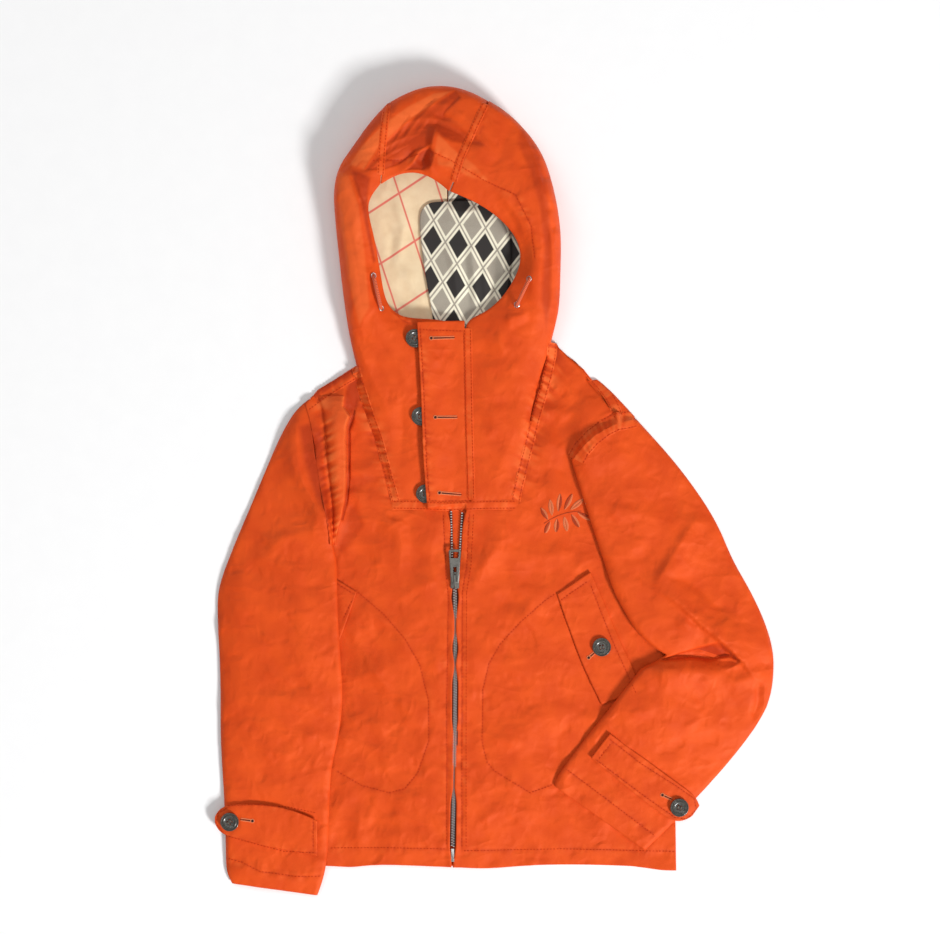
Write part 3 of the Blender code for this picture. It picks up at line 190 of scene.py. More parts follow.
for side, (start, end) in CORD_ENDS.items():
    curve = bpy.data.curves.new(f"cord_loop_{side}", "CURVE")
    curve.dimensions = "3D"
    curve.bevel_depth = CORD_RADIUS
    curve.bevel_resolution = 4
    curve.use_fill_caps = True
    spline = curve.splines.new("POLY")
    spline.points.add(CORD_STEPS - 1)
    spots = []
    for k, point in enumerate(spline.points):
        t = 0.5 - 0.5 * math.cos(math.pi * k / (CORD_STEPS - 1))
        arch = CORD_SEAT + CORD_ARCH * (4 * t * (1 - t)) ** 0.45
        x, y, z = (a + (b - a) * t for a, b in zip(start, end))
        spots.append(at(x, y, z + arch))
        point.co = (*spots[-1], 1)
    curve.materials.append(braid)
    loop = bpy.data.objects.new(f"cord_loop_{side}", curve)
    scene.collection.objects.link(loop)
    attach(loop, "jacket")
    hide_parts(f"drawcord_{side}")
    length = sum((b - a).length for a, b in zip(spots, spots[1:]))

# ---- Back -------------------------------------------------------------------------------------
# One wide panel of orange poplin, lying flat on the table, and two narrow strips where the
# back's shoulders come over to the front. Each is cut from a single layer, hemmed and sewn round.
SEED = 7
ORANGE = (0.74, 0.073, 0.0068)
ORANGE_DEEP = (0.635, 0.053, 0.0046)
# Paler orange for the thicker threads' streaks and the worn tops of seam puckers, and painted highlight where folds and
# edges face the light. The shade colour below is painted shade.
ORANGE_WORN_AND_LIT = (0.84, 0.165, 0.038)
ORANGE_SHADE = (0.36, 0.022, 0.004)
RUMPLES = (((6, 10, 1), 0.35, 0.0030), ((15, 11, 2), -0.5, 0.0016))  # scale, turn, height
SCATTER_RISE = 1.15
RIDGE_ODDS = 0.62  # the share of scattered creases that stand up
WELD = 2e-6
SHARP_TURN = 0.96  # edges that turn by more, in radians, stay sharp when faces are divided
LAYER_FALL = 0.0026  # how far below the top the second layer of a tube begins
FLOOR_GAP = 0.00002
OVERHEAD = 0.09  # higher than any piece
DOWN = Vector((0, 0, -1))
CREASE_SPAN = 1.7  # how many times its width a crease reaches out on each side
CREASE_CURVE = 1.4  # the power of its slope, above 1 for a foot that runs out softly
CREASE_ROUND = 0.3  # how round its top is, in millimetres
CREASE_TAPER = 0.3  # the share of its length over which each end runs out
GROOVE_HALF = 1.3  # half the width of a stitched groove, and of the darker line in it
THREAD_HALF = 0.9
SEAM_END = 6  # the millimetres over which a seam's puckers begin and end
WANDER = 0.45  # how far crumples wander, as a share of their cell, and in how much larger cells
WANDER_CELL = 1.7
FINE_CELL = 0.53  # the second set of crests is this much smaller
CREST_ROUND = (0.0012, 0.002)  # how blunt the crests of the two sets are
PUCKER_CELL = 0.52  # the puckers' size as a share of a seam's pitch
PUCKER_GAIN = 1.9
PUCKER_LONG = 0.12  # how slowly puckers change across their seam


def reckoned(add, operation, first, second=0.5):
    """A math node's result for a value and a second value or number, which is the middle of a
    noise's range unless it is given."""
    node = add("ShaderNodeMath", [(first, 0)], operation=operation)
    if hasattr(second, "is_output"):
        node.id_data.links.new(second, node.inputs[1])
    else:
        node.inputs[1].default_value = second
    return node.outputs[0]


# The poplin is paler and darker as each piece's wear_and_shading values say: paler where its
# seams rub and with painted highlight where folds and edges face the light, and darker with
# painted shade in folds, hollows and cast shadows. It also has streaks of thicker thread, its
# weave, and small sharp rumples in patches.
shell_poplin, shader, add, link = finish(
    "shell_poplin", 0.56, Sheen_Weight=0.07, Sheen_Roughness=0.35, Sheen_Tint=(1, 0.55, 0.3, 1),
    Specular_IOR_Level=0.32, Specular_Tint=(1, 0.66, 0.42, 1))
cloud, slub, fade, patches = (grained(add, scale, detail) for scale, detail in (
    ((9, 9, 9), 1.0), ((260, 1900, 600), 2.0), ((1500, 170, 600), 2.0), ((14, 14, 14), 1.0)))
# The wear_and_shading values paint the cloth paler above 0, as wear and painted highlight, and darker below 0, as
# painted shade and the darker stitch lines.
wear_and_shading = add("ShaderNodeAttribute", attribute_name="wear_and_shading").outputs["Fac"]
ground = blended(add, ranged(add, cloud, 0.3, 0.7), ORANGE_DEEP, ORANGE)
for share, colour in (
        (ranged(add, slub, 0.35, 0.75, 0, 0.14), ORANGE_WORN_AND_LIT), (ranged(add, fade, 0.4, 0.8, 0, 0.12), ORANGE_DEEP),
        (ranged(add, wear_and_shading, 0, 1, 0, 0.7), ORANGE_WORN_AND_LIT), (ranged(add, wear_and_shading, 0, -1, 0, 0.8), ORANGE_SHADE)):
    ground = blended(add, share, ground, colour)
link(ground, shader.inputs["Base Color"])
warp, weft = (
    add("ShaderNodeTexWave", [(stretched(add, (1000, 1000, 1000)), "Vector")], Scale=0.55, Distortion=0.6,
        bands_direction=axis).outputs["Fac"] for axis in "XY")
weave = reckoned(add, "ADD", reckoned(add, "MULTIPLY", warp, weft), slub)
normal = add("ShaderNodeBump", [(weave, "Height")], Strength=0.22, Distance=0.0003)
where = ranged(add, patches, 0.40, 0.62, 0.12, 1.0)
for scale, turn, height in RUMPLES:
    folds = add("ShaderNodeTexNoise", [(stretched(add, scale, turn), "Vector")], Detail=0.0, Distortion=0.5)
    crest = reckoned(add, "ABSOLUTE", reckoned(add, "SUBTRACT", folds.outputs["Fac"]))
    normal = add("ShaderNodeBump", [(reckoned(add, "MULTIPLY", crest, where), "Height"),
                                    (normal.outputs["Normal"], "Normal")], Strength=0.8, Distance=height)
    normal.invert = True
link(normal.outputs["Normal"], shader.inputs["Normal"])


def ease(t):
    """From 0 to 1 with a soft start and end."""
    t = np.clip(t, 0, 1)
    return t * t * (3 - 2 * t)


def nearest(points, x, y):
    """For every x and y the distance to a line of points, plus on its right as it is drawn, the
    way along it, and its length."""
    best = np.full(x.shape, 1e9)
    side = np.zeros(x.shape)
    way = np.zeros(x.shape)
    run = 0.0
    for (x0, y0), (x1, y1) in zip(points, points[1:]):
        dx, dy = x1 - x0, y1 - y0
        length = math.hypot(dx, dy)
        t = np.clip(((x - x0) * dx + (y - y0) * dy) / length**2, 0, 1)
        ox, oy = x - x0 - t * dx, y - y0 - t * dy
        far = np.hypot(ox, oy)
        near = far < best
        best = np.where(near, far, best)
        side = np.where(near, np.sign(dx * oy - dy * ox), side)
        way = np.where(near, run + t * length, way)
        run += length
    return best * side, way, run


def creased(x, y, creases):
    """The lift of folds given as (rise, width on the right, width on the left, points)."""
    lift = np.zeros(x.shape)
    for rise, right, left, *points in creases:
        xs, ys = zip(*points)
        edge = 1.3 * CREASE_SPAN * max(right, left) + 1
        near_by = (x > min(xs) - edge) & (x < max(xs) + edge) & (y > min(ys) - edge) & (y < max(ys) + edge)
        if not near_by.any():
            continue
        off, way, length = nearest(points, x[near_by], y[near_by])
        reach = np.where(off > 0, right, left)
        near = (np.sqrt(off**2 + CREASE_ROUND**2) - CREASE_ROUND) / reach
        taper = ease(way / length / CREASE_TAPER) * ease((1 - way / length) / CREASE_TAPER)
        lift[near_by] += rise * taper * np.clip(1 - near / CREASE_SPAN, 0, 1) ** CREASE_CURVE
    return lift


def scattered(seed, count, area, rise, length, heading, spread, sharp=2.0, soft=6.5):
    """Short random creases over an area, most of them headed one way, as handling leaves."""
    draw = np.random.default_rng(SEED + seed)
    creases = []
    for _ in range(count):
        x, y = draw.uniform(area[0], area[2]), draw.uniform(area[1], area[3])
        turn = heading + draw.normal(0, spread)
        reach = draw.uniform(*length) / 2
        bend = draw.uniform(-0.35, 0.35) * reach
        dx, dy = math.cos(turn), math.sin(turn)
        high = SCATTER_RISE * draw.uniform(*rise) * (1 if draw.random() < RIDGE_ODDS else -1)
        wide = draw.uniform(0.7, 1.3)
        one, other = (sharp * wide, soft * wide) if draw.random() < 0.5 else (soft * wide, sharp * wide)
        ends = (x - dx * reach, y - dy * reach), (x + dx * reach, y + dy * reach)
        creases.append((high, one, other, ends[0], (x - dy * bend, y + dx * bend), ends[1]))
    return creases


def noise(x, y, cell, seed):
    """Smooth noise from -1 to 1, with cells of a given size in millimetres."""
    lattice = np.random.default_rng(SEED + seed).uniform(-1, 1, (128, 128))
    u, v = x / cell + 40.3, y / cell + 40.7
    i, j = np.floor(u).astype(int), np.floor(v).astype(int)
    s, t = u - i, v - j
    s, t = s * s * (3 - 2 * s), t * t * (3 - 2 * t)
    corner = [[lattice[(i + a) % 128, (j + b) % 128] for b in (0, 1)] for a in (0, 1)]
    low = corner[0][0] * (1 - s) + corner[1][0] * s
    high = corner[0][1] * (1 - s) + corner[1][1] * s
    return low * (1 - t) + high * t


def crumpled(x, y, cell, seed, turn=0.0, long=1.0):
    """Sharp-crested low crumples, as closely woven cotton takes when it is handled."""
    c, s = math.cos(turn), math.sin(turn)
    u, v = (x * c + y * s) / long, -x * s + y * c
    u = u + WANDER * cell * noise(x, y, cell * WANDER_CELL, seed + 1)
    v = v + WANDER * cell * noise(x, y, cell * WANDER_CELL, seed + 2)
    first = np.sqrt(noise(u, v, cell, seed + 3) ** 2 + CREST_ROUND[0])
    second = np.sqrt(noise(u, v, cell * FINE_CELL, seed + 4) ** 2 + CREST_ROUND[1])
    return 0.75 - 1.5 * first - 0.7 * second


def puckered(way, across, cell, seed):
    """Waves from -1 to 1 along a seam, with their tops held flat, as stitches draw cloth up."""
    return np.clip(PUCKER_GAIN * noise(way, across, cell, seed), -1, 1)


def sewn(x, y, seams):
    """The groove and the puckers of stitch lines given as (depth, pucker, width, pitch, points),
    and the cloth's wear and painted shading there: the puckers' tops paler, partly as wear and
    partly as painted highlight, their dips darker with painted shade, and a darker line along the
    stitches."""
    lift = np.zeros(x.shape)
    wear_and_shading = np.zeros(x.shape)
    for k, (depth, pucker, width, pitch, *points) in enumerate(seams):
        off, way, length = nearest(points, x, y)
        drift = way + 1.8 * noise(way, off * 0.6, pitch * 2.3, 31 * k) + off * 0.3
        wave = puckered(drift, 20 * np.sign(off) + PUCKER_LONG * off, PUCKER_CELL * pitch, 17 * k)
        strength = 0.7 + 0.5 * noise(way, off * 0.3, pitch * 3.1, 57 * k)
        fall = np.exp(-((off / width) ** 2)) * ease(way / SEAM_END) * ease((length - way) / SEAM_END)
        lift += pucker * wave * strength * fall - depth * np.exp(-((off / GROOVE_HALF) ** 2))
        wear_and_shading += 0.75 * wave * strength * fall * min(1, pucker * 2.4)
        wear_and_shading -= 0.5 * np.exp(-((off / THREAD_HALF) ** 2))
    return lift, np.clip(wear_and_shading, -1, 1)


def hollowed(x, y, hollows):
    """How far the cloth falls, and how shaded it is, inside outlines given as (depth, shade,
    slope's width, points)."""
    drop, dark = np.zeros(x.shape), np.zeros(x.shape)
    for depth, shade, slope, *points in hollows:
        far, _, _ = nearest(points + points[:1], x, y)
        inside = np.zeros(x.shape, bool)
        for (x0, y0), (x1, y1) in zip(points, points[1:] + points[:1]):
            if y0 != y1:
                crossing = x0 + (y - y0) * (x1 - x0) / (y1 - y0)
                inside ^= ((y0 > y) != (y1 > y)) & (x < crossing)
        share = np.where(inside, ease(np.abs(far) / slope), 0)
        drop += depth * share
        dark += shade * share * (1 - np.abs(dark))
    return drop, dark


def copy_of(node, name, material):
    """A copy of a CAD node's mesh as an object of its own, with its points welded."""
    made = bpy.data.objects.new(name, nodes[node].data.copy())
    made.data.materials.clear()
    made.data.materials.append(material)
    scene.collection.objects.link(made)
    shape = bmesh.new()
    shape.from_mesh(made.data)
    bmesh.ops.remove_doubles(shape, verts=shape.verts, dist=WELD)
    return made, shape


def modified(piece, kind, **settings):
    """Puts a modifier's result into a piece's mesh."""
    bpy.ops.object.select_all(action="DESELECT")
    piece.select_set(True)
    bpy.context.view_layer.objects.active = piece
    modifier = piece.modifiers.new("step", kind)
    for key, value in settings.items():
        setattr(modifier, key, value)
    bpy.ops.object.modifier_apply(modifier="step")


def smoothed(piece):
    """Shades a piece's faces smoothly."""
    piece.data.polygons.foreach_set("use_smooth", [True] * len(piece.data.polygons))


def dense_copy(node, name, levels, material):
    """A copy of a node's mesh with its triangles paired and its faces divided."""
    made, shape = copy_of(node, name, material)
    bmesh.ops.join_triangles(shape, faces=shape.faces, angle_face_threshold=0.9, angle_shape_threshold=3.1)
    crease = shape.edges.layers.float.new("crease_edge")
    for edge in shape.edges:
        if len(edge.link_faces) == 2 and edge.calc_face_angle(0) > SHARP_TURN:
            edge[crease] = 1.0
    shape.to_mesh(made.data)
    shape.free()
    modified(made, "SUBSURF", levels=levels, render_levels=levels, use_limit_surface=False)
    smoothed(made)
    return made


def points_of(piece):
    """A mesh's points as rows of x, y and z in metres."""
    coords = np.empty(len(piece.data.vertices) * 3)
    piece.data.vertices.foreach_get("co", coords)
    return coords.reshape(-1, 3)


def node_tree(node):
    """A search tree of a CAD node's surface."""
    solid = nodes[node].data
    return BVHTree.FromPolygons([v.co[:] for v in solid.vertices], [p.vertices[:] for p in solid.polygons])


def upper_share(node, coords):
    """1 for points on a piece's upper layer and 0 for those of layers below it."""
    tree = node_tree(node)
    share = np.ones(len(coords))
    for k, (x, y, z) in enumerate(coords):
        hit = tree.ray_cast(Vector((x, y, OVERHEAD)), DOWN)[0]
        if hit is not None:
            share[k] = np.clip(1.5 - (hit.z - z) / LAYER_FALL, 0, 1)
    return share


CALM_SPOTS = [  # x, y and reach of each button and eyelet
    (415.3, 339.3, 13), (421.1, 416.6, 13), (425.5, 493.6, 13), (601.3, 646.6, 13), (230.9, 820.0, 13),
    (678.3, 805.7, 13), (374.9, 278.0, 7), (382.4, 310.0, 7), (528.2, 281.5, 7), (516.4, 306.5, 7),
]


def calmed(x, y):
    """0 under the buttons and eyelets, where hardware holds the cloth flat, and 1 away from them."""
    share = np.ones(x.shape)
    for sx, sy, reach in CALM_SPOTS:
        share *= ease(np.hypot(x - sx, y - sy) / reach - 0.75)
    return share


cloth = {}


def cloth_piece(node, levels, creases=(), seams=(), crumples=(), upper=False, clear=(), floor=1.5, warp=None,
                hollows=(), pulls=(), material=shell_poplin):
    """A dense sheet in a node's place, with its folds, seams and crumples. In places of clear,
    given as (x, y, reach), the cloth stays as the node has it. Pulls, given as (x, y, shift x,
    shift y, reach), draw it in under its neighbours. The piece rides on the jacket and is shown
    for its node."""
    piece = dense_copy(node, f"cloth_{node}", levels, material)
    coords = points_of(piece)
    share = upper_share(node, coords) if upper else 1.0
    x, y = on_table(coords)
    if warp:
        warp(coords, x, y)
    for px, py, sx, sy, reach in pulls:
        near = ease(1.3 * (1 - np.hypot(x - px, y - py) / reach))
        coords[:, 0] += sx * near / 1000
        coords[:, 1] -= sy * near / 1000
    deep, dark = hollowed(x, y, hollows)
    lift = creased(x, y, creases) - deep
    for height, cell, seed, turn, long in crumples:
        lift += height * crumpled(x, y, cell, seed, turn, long)
    puckers, wear_and_shading = sewn(x, y, seams)
    lift = (lift + puckers) * calmed(x, y)
    for sx, sy, reach in clear:
        lift *= ease(np.hypot(x - sx, y - sy) / reach - 0.5)
    lift = np.where(lift < 0, lift * ease((coords[:, 2] * 1000 - floor) / 3), lift)
    # The hollows' shade is painted: shade where it is above 0 and highlight where it is below, laid on the seams' wear
    # and shading.
    wear_and_shading = np.clip(wear_and_shading - dark, -1, 1) * share
    coords[:, 2] += lift * share / 1000
    coords[:, 2] = np.maximum(coords[:, 2], FLOOR_GAP)
    piece.data.vertices.foreach_set("co", coords.ravel())
    piece.data.attributes.new("wear_and_shading", "FLOAT", "POINT").data.foreach_set("value", wear_and_shading)
    piece.data.update()
    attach(piece, "jacket")
    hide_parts(node)
    cloth[node] = piece


# The pulls bring the shoulder's edges to the hood and to the sleeves.
SHOULDER_PULLS = [(351, 374, 6, -5, 16), (559, 352, 0, -6, 30), (580, 368, 3, -3, 16), (554, 348, -1, -6, 10)]
STRIP_END_PULLS = [(592, 373, -5, 5, 9), (311, 395, -1, 3.5, 10)]
FRONT_EDGE_PULLS = [(585, 371, 2, -2, 9), (307, 401, -1, -2, 9)]
cloth_piece("back", 3, crumples=[(0.05, 30, 3, 0.4, 1)], floor=0)
for side in ("right", "left"):
    cloth_piece(f"back_shoulder_{side}", 3, crumples=[(0.25, 12, 5, 0.4, 1)], floor=0.4,
                pulls=SHOULDER_PULLS + STRIP_END_PULLS)

# ---- Fronts -----------------------------------------------------------------------------------
# A right and a left front of the same poplin, from hem to shoulder, either side of the zip. The
# pocket bags are stitched through from behind, and the hem is turned up and sewn.
HEM_LINE = [(329, 847.5), (390, 847), (448, 848)]
FRONT_RIGHT_SEAMS = [  # depth, pucker, width, pitch, points
    (0.35, 0.16, 6, 6.5, (443.4, 513), (446, 571), (448.5, 596), (447, 700), (447, 846)),
    (0.35, 0.18, 5, 6.0, *HEM_LINE),
    (0.30, 0.10, 5, 8.0, (357, 591), (384, 614), (405, 638), (420, 664), (426, 689), (429, 701),
     (429, 740), (418, 772), (405, 788), (390, 792), (362, 785), (336, 770)),
    (0.35, 0.62, 8, 6.2, (361, 398), (376, 440), (385, 476), (391, 503)),
    (0.30, 0.20, 6, 6.4, (396, 509), (448, 509)),
    (0.30, 0.15, 5, 7.0, (337, 579), (357, 591)),
]
FRONT_LEFT_SEAMS = [
    (0.35, 0.22, 6, 6.5, (469.5, 512), (467, 564), (462.5, 592), (462, 700), (462, 848)),
    (0.35, 0.18, 5, 6.0, (462, 850), (560, 848.5), (674, 851)),
    (0.30, 0.10, 5, 8.0, (556, 593), (544, 601), (520, 622), (500, 644), (489, 663), (483, 689),
     (482, 741), (487, 761), (494, 770), (530, 792), (553, 784)),
    (0.35, 0.65, 9, 6.0, (562, 349), (547, 385), (537, 420), (529, 455), (523, 484), (519, 503)),
    (0.30, 0.20, 6, 6.4, (462, 509), (512, 509)),
    (0.30, 0.28, 6, 6.0, (591, 377), (602, 389), (611, 404), (617, 418)),
]
FRONT_RIGHT_CREASES = [  # rise, width on the right, width on the left, points
    (2.24, 9, 7, (338, 470), (362, 470), (388, 462)),
    (-1.68, 7, 8, (340, 487), (365, 486), (386, 492)),
    (1.68, 9, 8, (336, 523), (372, 519), (404, 526)),
    (1.82, 8, 8, (372, 436), (360, 424), (348, 410)),
    (-1.54, 8, 9, (346, 552), (366, 556), (381, 566)),
    (2.1, 10, 8, (394, 512), (402, 545), (398, 580)),
    (-1.26, 8, 8, (408, 515), (412, 548), (430, 566)),
    (1.68, 10, 8, (394, 604), (412, 590), (440, 578)),
    (1.4, 9, 8, (342, 624), (372, 618), (408, 628)),
    (-1.12, 9, 8, (350, 650), (376, 648), (402, 660)),
    (1.54, 8, 10, (344, 682), (372, 672), (400, 690)),
    (1.26, 3, 5, (396, 699), (405, 708), (416, 711)),
    (1.4, 8, 7, (346, 726), (372, 722), (398, 734)),
    (-1.26, 8, 8, (342, 742), (372, 742), (402, 752)),
    (1.4, 9, 8, (338, 765), (372, 770), (404, 762)),
    (1.68, 9, 9, (358, 800), (360, 826), (352, 850)),
    (1.26, 9, 8, (396, 806), (402, 828), (398, 848)),
    (1.12, 9, 8, (432, 640), (438, 668), (440, 700)),
]
FRONT_LEFT_CREASES = [
    (2.34, 10, 8, (556, 376), (568, 388), (574, 404)),
    (-2.08, 8, 7, (541, 402), (556, 397), (568, 394)),
    (1.82, 8, 7, (538, 412), (556, 410), (570, 420)),
    (-1.82, 8, 8, (532, 428), (552, 424), (568, 434)),
    (1.69, 9, 8, (530, 446), (550, 444), (570, 452)),
    (-1.56, 9, 9, (526, 474), (552, 468), (574, 474)),
    (1.3, 8, 8, (524, 492), (548, 488), (572, 500)),
    (2.21, 12, 9, (505, 512), (500, 542), (474, 580)),
    (-1.43, 9, 9, (478, 514), (486, 538), (476, 566)),
    (1.56, 10, 9, (516, 548), (544, 556), (574, 548)),
    (-1.3, 9, 9, (520, 570), (546, 574), (570, 570)),
    (1.56, 9, 9, (478, 600), (500, 588), (530, 592)),
    (-1.43, 9, 8, (494, 606), (512, 600), (528, 610)),
    (1.17, 8, 9, (500, 664), (530, 656), (566, 664)),
    (-1.17, 9, 9, (496, 688), (530, 682), (572, 694)),
    (1.56, 5, 9, (482, 734), (502, 738), (522, 746)),
    (-1.04, 8, 8, (500, 752), (522, 756), (548, 750)),
    (1.3, 9, 9, (470, 640), (476, 668), (472, 700)),
    (1.17, 9, 9, (494, 790), (520, 812), (556, 806)),
    (1.43, 10, 9, (576, 786), (590, 812), (618, 830)),
    (1.3, 9, 9, (634, 842), (648, 848), (664, 838)),
]
# Their shade is painted shade: the dark wedge of a deep fold by the neck, the shadow under the pleat's tip and beside
# its edge, and softer shade in the folds below.
FRONT_RIGHT_HOLLOWS = [  # depth, shade, slope's width, points
    (0.8, 0.95, 4.0, (346, 380), (352, 368), (360, 366), (364, 386), (367, 399), (360, 405), (356, 412), (352, 418),
     (343, 408), (344, 392)),
    (1.6, 1.0, 1.5, (353, 411), (357, 407), (355, 420), (350, 433), (347, 432), (348, 424)),
    (0.8, 0.55, 7.0, (346, 474), (362, 472), (380, 474), (384, 482), (368, 488), (352, 494), (345, 496)),
    (1.2, 0.9, 1.0, (347.5, 432), (351, 432), (351, 475), (349, 500), (344, 520), (341, 520), (345, 500),
     (347.5, 475)),
    (0.8, 0.5, 8.0, (345, 500), (358, 502), (368, 524), (352, 548), (336, 562), (334, 545), (341, 522)),
]
# Crumples are height, cell, seed, turn, and how long for their width.
FRONT_CRUMPLES = [(2.0, 52, 40, 0.5, 1.3), (0.22, 21, 60, 0.2, 1.4)]
ZIP_MIDDLE = ((588, 454.9), (612, 455.3), (700, 455.1), (730, 454.9), (804, 453.6), (847, 452.7), (866, 452.1))
ZIP_SHOWS = ((588, 606), (643, 652), (678, 724), (798, 850))
ZIP_TOP = 588  # below this the fronts lie closed
ZIP_FLY = 1.9  # how far their edges roll over the teeth, how high, and from how far away
ZIP_RISE = 0.9
ZIP_REACH = 7.5


def zip_fly(coords, x, y):
    """The zip-side edge rolls over the teeth, except where they show."""
    rows, middles = zip(*ZIP_MIDDLE)
    off = x - np.interp(y, rows, middles)
    hidden = ease((y - ZIP_TOP - 2) / 14)
    for start, end in ZIP_SHOWS:
        hidden -= 1.25 * ease((y - start + 14) / 20) * ease((end + 14 - y) / 20) * ease((y - ZIP_TOP) / 12)
    hidden *= 1 + 0.1 * noise(y, y * 0, 15, 77)
    near = ease((ZIP_REACH - np.abs(off)) / 5)
    coords[:, 0] -= np.sign(off) * ZIP_FLY * hidden * near / 1000
    coords[:, 2] += ZIP_RISE * near * ease((y - ZIP_TOP - 2) / 12) / 1000


cloth_piece(
    "front_right", 3, FRONT_RIGHT_CREASES
    + scattered(1, 95, (335, 400, 452, 866), (0.2, 0.75), (12, 46), 0.15, 0.55)
    + scattered(2, 60, (335, 690, 452, 866), (0.2, 0.6), (8, 26), 0.5, 0.8, 1.6, 6),
    FRONT_RIGHT_SEAMS, FRONT_CRUMPLES, clear=[(453, 580, 14), (452, 857, 12)], warp=zip_fly,
    hollows=FRONT_RIGHT_HOLLOWS, pulls=SHOULDER_PULLS + FRONT_EDGE_PULLS)
cloth_piece(
    "front_left", 3, FRONT_LEFT_CREASES
    + scattered(3, 95, (457, 370, 676, 866), (0.2, 0.75), (12, 46), -0.15, 0.55)
    + scattered(4, 60, (457, 690, 676, 866), (0.2, 0.6), (8, 26), -0.4, 0.8, 1.6, 6),
    FRONT_LEFT_SEAMS, FRONT_CRUMPLES, clear=[(456, 580, 14), (452, 857, 12)], warp=zip_fly,
    pulls=SHOULDER_PULLS + FRONT_EDGE_PULLS)

# ---- Zip guard --------------------------------------------------------------------------------
# A doubled strip of the poplin behind the open top of the zip.
cloth_piece("zip_guard", 4, crumples=[(0.12, 9, 90, 0.3, 1)], floor=3.2)

# ---- Hood -------------------------------------------------------------------------------------
# Two side panels and a strip over the top of the head, double-stitched together and turned in
# at the face to make the channel for the cord. The sides run on down as the neck piece.
HOOD_CREASES = [
    (-7.0, 13, 26, (458, 92), (436, 108), (417, 122), (406, 136), (380, 163), (366, 177)),
    (-4.6, 9, 8, (430, 115), (448, 128), (467, 142), (486, 152)),
    (4.2, 18, 4, (432, 186), (431, 164), (433, 146), (440, 127)),
    (-3.4, 5, 5, (432, 150), (426, 160), (421, 172)),
    (2.6, 3, 6, (430, 150), (418, 160), (410, 173)),
    (-2.2, 4, 6, (418, 154), (404, 164), (392, 170)),
    (1.6, 4, 4, (432, 168), (448, 175), (464, 186)),
    (-2.0, 10, 9, (512, 122), (505, 144), (496, 166), (480, 176)),
    (3.8, 7, 16, (507, 118), (525, 143), (533, 163), (540, 187), (545, 212), (550, 240), (553, 272), (552, 300)),
    (-2.6, 3, 7, (538, 184), (546, 182), (556, 182)),
    (-2.6, 3, 7, (548, 234), (554, 231), (562, 227)),
    (2.2, 6, 7, (561, 222), (554, 232), (552, 262), (551, 300), (548, 338)),
    (-3.6, 7, 14, (334, 166), (348, 170), (360, 174), (376, 178)),
    (4.4, 5, 16, (338, 166), (358, 183), (366, 206), (371, 240), (375, 272)),
    (-2.2, 9, 9, (346, 200), (352, 236), (360, 280), (366, 330)),
    (1.6, 7, 7, (344, 216), (350, 262), (354, 306), (360, 344)),
    (1.6, 7, 6, (353, 330), (370, 372), (392, 420)),
    (-1.6, 8, 8, (398, 372), (404, 420), (400, 470)),
    (1.3, 7, 7, (384, 350), (400, 366), (412, 392)),
    (1.3, 6, 6, (476, 372), (500, 366), (526, 372)),
    (-1.2, 6, 6, (480, 402), (500, 404), (520, 398)),
    (1.2, 6, 6, (478, 436), (498, 430), (516, 440)),
    (2.0, 4, 5, (503, 326), (514, 318), (530, 314)),
    (-1.5, 4, 4, (506, 334), (520, 327), (536, 320)),
    (1.5, 4, 4, (498, 330), (500, 344), (508, 356)),
    (1.4, 6, 8, (536, 210), (540, 250), (536, 296)),
    (2.0, 8, 12, (459, 97), (478, 108), (500, 118), (520, 136)),
    (-1.4, 8, 8, (400, 108), (412, 98), (430, 96)),
    (1.8, 3, 8, (494, 196), (508, 208), (520, 226), (526, 246)),
]
HOOD_SEAMS = [
    (0.30, 0.16, 4, 6.0, (487, 107), (485, 122), (479, 140), (470, 146), (460, 157), (455, 172)),
    (0.30, 0.16, 4, 6.0, (392, 107), (388, 125), (380, 176)),
    (0.30, 0.22, 5, 6.5, (431, 157), (451, 166), (483, 185), (515, 200), (530, 230), (534, 262)),
    (0.30, 0.22, 5, 6.5, (421, 159), (401, 165), (375, 166)),
    (0.25, 0.55, 7, 6.0, (365, 398), (380, 440), (389, 476), (395, 503)),
    (0.25, 0.55, 7, 6.0, (556, 349), (541, 385), (531, 420), (523, 455), (517, 484), (513, 503)),
    (0.30, 0.16, 5, 6.0, (393, 500.5), (424, 500.5)),
    (0.30, 0.16, 5, 6.0, (468, 501), (514, 501)),
    (0.20, 0.16, 5, 7.0, (392, 312), (404, 322), (418, 326)),
]
HOOD_CRUMPLES = [(1.3, 42, 120, 0.9, 1.3), (0.18, 18, 140, 0.3, 1.3)]
HOOD_CREASES += scattered(5, 60, (340, 95, 560, 330), (0.15, 0.6), (10, 34), 0.6, 0.8, 2, 7)
HOOD_CREASES += scattered(6, 50, (365, 330, 545, 503), (0.15, 0.5), (12, 40), 0.2, 0.6, 2, 8)
HOOD_TOP = 42.0


def hood_pressed(coords, x, y):
    """The hood's top lies pressed flatter than a dome, with a fuller turn at its outline."""
    share = np.clip(coords[:, 2] * 1000 / HOOD_TOP, 0, 1)
    full = 1 - (1 - share) ** 1.8
    fuller = (full - share) * ease((262 - y) / 70) * ease(share / 0.12)
    coords[:, 2] += fuller * HOOD_TOP / 1000


